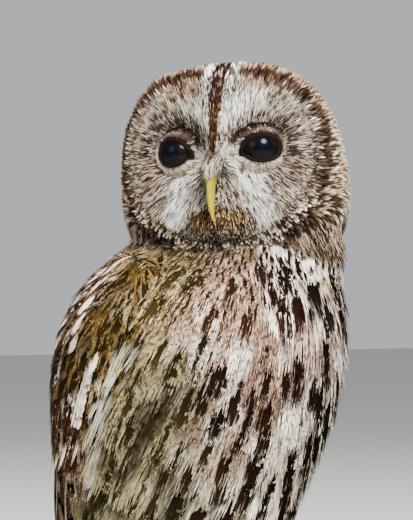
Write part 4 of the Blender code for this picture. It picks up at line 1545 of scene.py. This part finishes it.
def tract_tail_cover():
    """Upper and under tail coverts over the roots of the tail feathers."""
    wanted = (FACE_KIND == "tail") | ((FACE_KIND == "flight") & on_tail(centroid))
    roots, chance = seeds(3500, 4.2, wanted, lambda place: place[:, 2] > 0.030)
    place, normal, _ = roots
    look = painted(roots, chance)
    look.over(0.8 * (normal[:, 2] < -0.2), ground=WHITE)
    keep = rng.random(len(place)) < step(place[:, 2], 0.042, 0.066)
    laid = walk(only(roots, keep), 20 * MM)
    grow("tail_coverts", laid, 5 * MM, fans(4, 15, 4, 0.25, point=0.5), look.take(keep), TAIL_COAT,
         proud=0.8 * MM)


def tract_legs():
    """Short plumage of shanks, feet and toes."""
    roots, chance = seeds(26000, 1.25, np.isin(FACE_KIND, LEG_KINDS), lambda place: place[:, 2] > 1.6 * MM)
    look = painted(roots, chance)
    look.over(0.6 * (chance < 0.12), ground=BROWN)
    vanes = fans(5, 4, 3, 0.5, overlap=1.2, lift=0.3)
    tall = step(roots[0][:, 2], 0.010, 0.040)
    grow("legs", walk(roots, (3.6 + 6.5 * tall) * MM, 5), (0.75 + 0.75 * tall) * MM, vanes, look, LEG_COAT,
         rise=(0.1, 1.0), proud=0.15 * MM)


breast = tract_breast()
tract_down()
tract_strands(*breast)
for tract in (tract_shoulders, tract_head, tract_face, tract_hairs, tract_bristles, tract_cere,
              tract_coverts, tract_lining, tract_flight, tract_patches, tract_wisps, tract_tail,
              tract_tail_cover, tract_legs):
    tract()


# ---------------------------------------------------------------- eyes and lids

OUTWARD = math.radians(20)


def eye_frame(sign):
    """Rows: along the slit away from the bill, forward, up; in world directions."""
    forward = unit(np.array([sign * math.sin(OUTWARD), -math.cos(OUTWARD), 0.02]))
    along = unit(np.array([sign * math.cos(OUTWARD), math.sin(OUTWARD), 0.0]))
    above = unit(np.cross(along, forward)) * sign
    above = above if above[2] > 0 else -above
    return np.stack([along, forward, above]) @ HEAD


def eye_material():
    g = Graph("eye")
    ring = g.attribute("ring", "Fac")
    fibre = g.noise(g.attribute("spoke"), 7.0, 4.0, 0.7)
    iris = g.mix(g.ramp(fibre, 0.35, 0.65), rgb(6, 4, 3), rgb(17, 10, 7))
    # the pupil is black with a faint blue that is a painted reflection of the sky
    colour = g.mix(g.ramp(ring, 0.47, 0.54), rgb(3, 4, 9), iris)
    colour = g.mix(g.ramp(ring, 0.84, 0.95), colour, rgb(8, 5, 4))
    return g.finish(Base_Color=colour, Roughness=0.3, Specular_IOR_Level=0.02, IOR=1.38,
                    Coat_Weight=0.10, Coat_Roughness=0.11, Coat_IOR=1.5)


def lid_material():
    """Dark bare rims that turn into pale down away from the eye."""
    g = Graph("lid")
    grain = g.noise(g.place(), 700.0, 4.0, 0.6)
    rim = g.mix(g.ramp(grain, 0.3, 0.7), rgb(8, 5, 5), rgb(22, 13, 11))
    down = g.mix(g.ramp(grain, 0.4, 0.6), rgb(84, 66, 54), rgb(160, 140, 122))
    colour = g.mix(g.ramp(g.attribute("ring", "Fac"), 0.50, 0.62), rim, down)
    return g.finish(Base_Color=colour, Roughness=0.8, Specular_IOR_Level=0.03,
                    Normal=g.bump(grain, 0.4, 0.0003))


def grid_faces(rows, columns):
    """Triangles of a tube whose rings of points follow each other."""
    faces = []
    for row in range(rows - 1):
        for column in range(columns):
            a = row * columns + column
            b = row * columns + (column + 1) % columns
            faces += [(a, b, b + columns), (a, b + columns, a + columns)]
    return np.array(faces)


def make_eye(name, sign):
    """The eyeball, whose cornea bulges; ring is 1 at the iris's edge and spoke tells the turn round it."""
    axes = eye_frame(sign)
    rows, columns = 56, 72
    tilt = np.linspace(0, math.radians(150), rows)
    spin = np.arange(columns) * 2 * math.pi / columns
    ring = tilt / math.radians(56)
    bulge = 0.055 * np.clip(1 - (tilt / math.radians(44)) ** 2, 0, 1)
    radius = (EYE_RADIUS - 0.15 * MM) * (0.965 + bulge)
    forward = np.repeat((radius * np.cos(tilt))[:, None], columns, 1)
    out = (radius * np.sin(tilt))[:, None]
    local = np.stack([out * np.cos(spin), forward, out * np.sin(spin)], 2).reshape(-1, 3)
    mesh = new_mesh("eyeball_" + name, local @ axes + EYE_AT[name], grid_faces(rows, columns))
    put_attribute(mesh, "ring", np.repeat(ring, columns))
    spoke = np.stack([np.cos(spin), np.sin(spin), np.zeros(columns)], 1)
    put_attribute(mesh, "spoke", np.tile(spoke, (rows, 1)) + np.repeat(ring, columns)[:, None] * [0, 0, 0.3])
    show("eyeball_" + name, mesh, EYE, "eye", ["eye_" + name])


def lid_outline(spin, outer, near, tall, lean):
    """The opening's edge: away from the bill and up, in metres, for each turn of spin."""
    inner = step(-np.cos(spin), 0.80, 1.0)
    x = np.where(np.cos(spin) > 0, outer * MM, near * MM) * np.cos(spin) - inner * 1.6 * MM
    z = tall * MM * np.sin(spin) * (1 + lean * np.sin(spin)) - inner * 1.9 * MM
    return np.array([x, z])


def make_lids(name, sign):
    """The lids: rings from the slit out over the eyeball, then rings laid on the skin round it."""
    axes = eye_frame(sign)
    outer, near, tall, hollow_outer = (9.6, 9.6, 5.7, 9.6) if sign > 0 else (6.0, 8.6, 5.9, 6.9)
    columns = 120
    spin = np.arange(columns) * 2 * math.pi / columns
    slit = lid_outline(spin, outer, near, tall, -0.04)
    hollow = lid_outline(spin, hollow_outer, 9.6, 6.5, 0.10)
    rings = []
    on_eye = ((0.93, -0.9), (0.97, 0.10), (1.0, 0.42), (1.04, 0.62),      # scale of the slit, height in mm
              (1.09, 0.66), (1.15, 0.50), (1.22, 0.25), (1.32, 0.0))
    for scale, height in on_eye:
        x, z = slit + (hollow - slit) * step(scale, 1.0, 1.3)
        radius = EYE_RADIUS + height * MM
        flat = np.hypot(x, z) * scale
        out = np.sin(flat / EYE_RADIUS) * radius / np.hypot(x, z)
        crease = 0.10 * MM * np.sin(spin * 23 + scale * 40) * (scale > 1.02)
        ring = np.stack([x * out, radius * np.cos(flat / EYE_RADIUS) + crease, z * out], 1)
        rings.append(ring @ axes + EYE_AT[name])
    for scale, height in ((1.42, 0.15), (1.60, -0.15), (1.85, -0.6)):
        out = np.hypot(x, z) * scale / np.hypot(x, z)
        ahead = np.stack([x * out, np.full(columns, EYE_RADIUS * 0.8), z * out], 1) @ axes + EYE_AT[name]
        place, normal, _ = skin.near(ahead)
        rings.append(place + normal * height * MM)
    mesh = new_mesh("lids_" + name, np.concatenate(rings), grid_faces(len(rings), columns))
    upper = 0.5 * step(np.sin(spin), 0.25, 0.70)
    put_attribute(mesh, "ring", (np.linspace(0, 1, len(rings))[:, None] * (1 - upper)).ravel())
    show("lids_" + name, mesh, LID, "face_plumage", ["face_disc_" + name])
    make_lashes(name, sign, np.stack(rings), axes)


def make_lashes(name, sign, rings, axes):
    """Very short feathers over the outer part of the lids."""
    count, knots = 2600, 5
    row = 4.6 + 5.4 * rng.random(count)
    column = rng.integers(rings.shape[1], size=count)
    low = np.minimum(row.astype(int), len(rings) - 2)
    share = (row - low)[:, None]
    start = rings[low, column] * (1 - share) + rings[low + 1, column] * share
    outward = unit(rings[-1, column] - rings[3, column])
    facing = np.tile(unit(axes[1]), (count, 1))
    facing = unit(facing - outward * np.sum(facing * outward, axis=1, keepdims=True))
    length = random_mm(count, 1.6, 1.8)
    t = np.linspace(0, 1, knots)[None, :, None]
    curve = start[:, None] + outward[:, None] * t * length[:, None, None]
    chance = rng.random(count)
    _, _, index = skin.near(start)
    local = to_head(start)
    x, _, z = (local - np.array([sign * EYE_X, 0, EYE_Z])).T
    side = np.abs(local[:, 0])
    above = step_mm(z, 1.5, 5.0)
    distance = flat_distance(x, z)
    # painted shadow of the brow's fold: a dark line arching over the eye; shadow is painted shade above the
    # eye
    fold_shadow = step_mm(np.abs(distance - 10.6 * MM), 1.6, 0.7) * above * (1 - 0.5 * step_mm(side, 22, 31))
    inner = step_mm(side - EYE_X, 2, -6)
    look = Look(count)
    shadow = tint(rgb(52, 33, 27), rgb(104, 78, 62), step_mm(distance, 8, 11))
    look.ground = laid_over(rgb(224, 208, 192),
                            (rgb(112, 90, 74), 0.75 * (chance < 0.32)),
                            (shadow, above * (0.88 + 0.10 * inner) * (chance < 0.95)),
                            (rgb(22, 14, 10), 0.95 * fold_shadow))
    laid = curve, np.repeat(facing[:, None], knots, axis=1), np.full((count, knots), 0.35 * MM), index
    grow("lashes_" + name, laid, 0.26 * MM, fans(5, 2, 3, 0.5, overlap=0.7, lift=0.4, curl=0.5), look,
         ("face_plumage", ["face_disc_" + name]), rise=(0.2, 1.0), camber=0.0)


EYE = eye_material()
LID = lid_material()
for side_name, side_sign in SIDES.items():
    make_eye(side_name, side_sign)
    make_lids(side_name, side_sign)


# ---------------------------------------------------------------- bill and claws

def smooth_copy(node, name, material, slot, narrow=1.0, shallow=1.0):
    """A finer, rounder copy of a node's solid that stands for it."""
    piece = placed(name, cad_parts[node].data.copy())
    modify(piece, "WELD", merge_threshold=0.00002)
    modify(piece, "REMESH", mode="VOXEL", voxel_size=0.00032)
    modify(piece, "SMOOTH", iterations=6, factor=0.5)
    mesh = evaluated(piece)
    piece.modifiers.clear()
    old = piece.data
    piece.data = mesh
    bpy.data.meshes.remove(old)
    if narrow < 1:
        local = to_head(read(mesh.vertices, "co", 3))
        local[:, 0] *= narrow
        local[:, 1] = (local[:, 1] + BILL_RIDGE) * shallow - BILL_RIDGE
        mesh.vertices.foreach_set("co", from_head(local).ravel())
        mesh.update()
    mesh.materials.clear()
    mesh.materials.append(material)
    for polygon in mesh.polygons:
        polygon.use_smooth = True
    stand_for(piece, slot, node)


def horn_material(name, base, tip, low, high, rough):
    """Horn that changes from base to tip between two heights."""
    g = Graph(name)
    x, y, z = g.parts(g.place())
    grain = g.noise(g.join(x * 3.0, y * 3.0, z), 260.0, 4.0, 0.6)
    share = g.ramp(z, high, low) + (grain - 0.5) * 0.35
    colour = g.mix(g.math("ADD", share, 0.0, clamp=True), base, tip)
    return g.finish(Base_Color=colour, Roughness=rough, Specular_IOR_Level=0.22,
                    Normal=g.bump(grain, 0.25, 0.0003), Coat_Weight=0.06, Coat_Roughness=0.2)


BILL_RIDGE = 43 * MM
bill_low, bill_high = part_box("bill_upper")
BILL = horn_material("bill", rgb(100, 97, 0), rgb(146, 125, 0), bill_low[2], bill_high[2], 0.55)
CLAW = horn_material("claw", rgb(62, 52, 46), rgb(26, 21, 20), 0.0, 0.010, 0.3)
smooth_copy("bill_upper", "upper_bill", BILL, "bill", 0.54, 0.85)
smooth_copy("bill_lower", "lower_bill", BILL, "bill", 0.22, 0.55)
for side_name in SIDES:
    for toe in TOES:
        smooth_copy(f"{toe}_toe_claw_{side_name}", f"claw_{toe}_{side_name}", CLAW, "claw")


# ---------------------------------------------------------------- stage, light and camera

AZIMUTH = math.radians(-32)
TARGET = Vector((0.0021, -0.0359, 0.2479))
DISTANCE = 1.5
FRAME_HEIGHT = 0.2444


def floor():
    g = Graph("floor")
    colour = g.mix(g.noise(g.place(), 40.0, 3.0), rgb(196, 197, 192), rgb(204, 205, 200))
    material = g.finish(Base_Color=colour, Roughness=0.85, Specular_IOR_Level=0.2)
    size = 6.0
    mesh = new_mesh("floor", [(-size, -size, 0), (size, -size, 0), (size, size, 0), (-size, size, 0)],
                    [(0, 1, 2), (0, 2, 3)])
    mesh.materials.append(material)
    placed("floor", mesh)


def aimed(name, data, middle, azimuth, elevation, distance):
    """A light or a camera that looks at middle from a direction given in radians."""
    thing = placed(name, data)
    back = Vector((math.sin(azimuth) * math.cos(elevation), -math.cos(azimuth) * math.cos(elevation),
                   math.sin(elevation)))
    thing.location = middle + back * distance
    thing.rotation_mode = "QUATERNION"
    thing.rotation_quaternion = (-back).to_track_quat("-Z", "Y")
    return thing


def light(name, azimuth, elevation, distance, size, power, colour):
    data = bpy.data.lights.new(name, "AREA")
    data.shape = "DISK"
    data.size = size
    data.energy = power
    data.color = colour
    aimed(name, data, Vector((0, -0.03, 0.2)), math.radians(azimuth), math.radians(elevation), distance)


def studio():
    world = bpy.data.worlds.new("studio")
    world.use_nodes = True
    world.node_tree.nodes["Background"].inputs[0].default_value = (0.80, 0.83, 0.86, 1)
    world.node_tree.nodes["Background"].inputs[1].default_value = 0.66
    bpy.context.scene.world = world
    light("key", -12, 44, 1.6, 0.75, 142, (0.98, 0.97, 0.95))
    light("fill", -85, 25, 2.0, 1.2, 16, (0.95, 0.97, 1.0))
    light("back", 150, 50, 2.0, 1.0, 40, (1.0, 1.0, 1.0))


def camera():
    data = bpy.data.cameras.new("camera")
    data.sensor_width = 36
    data.lens = 36 * DISTANCE / FRAME_HEIGHT
    bpy.context.scene.camera = aimed("camera", data, TARGET, AZIMUTH, 0, DISTANCE)


floor()
studio()
camera()
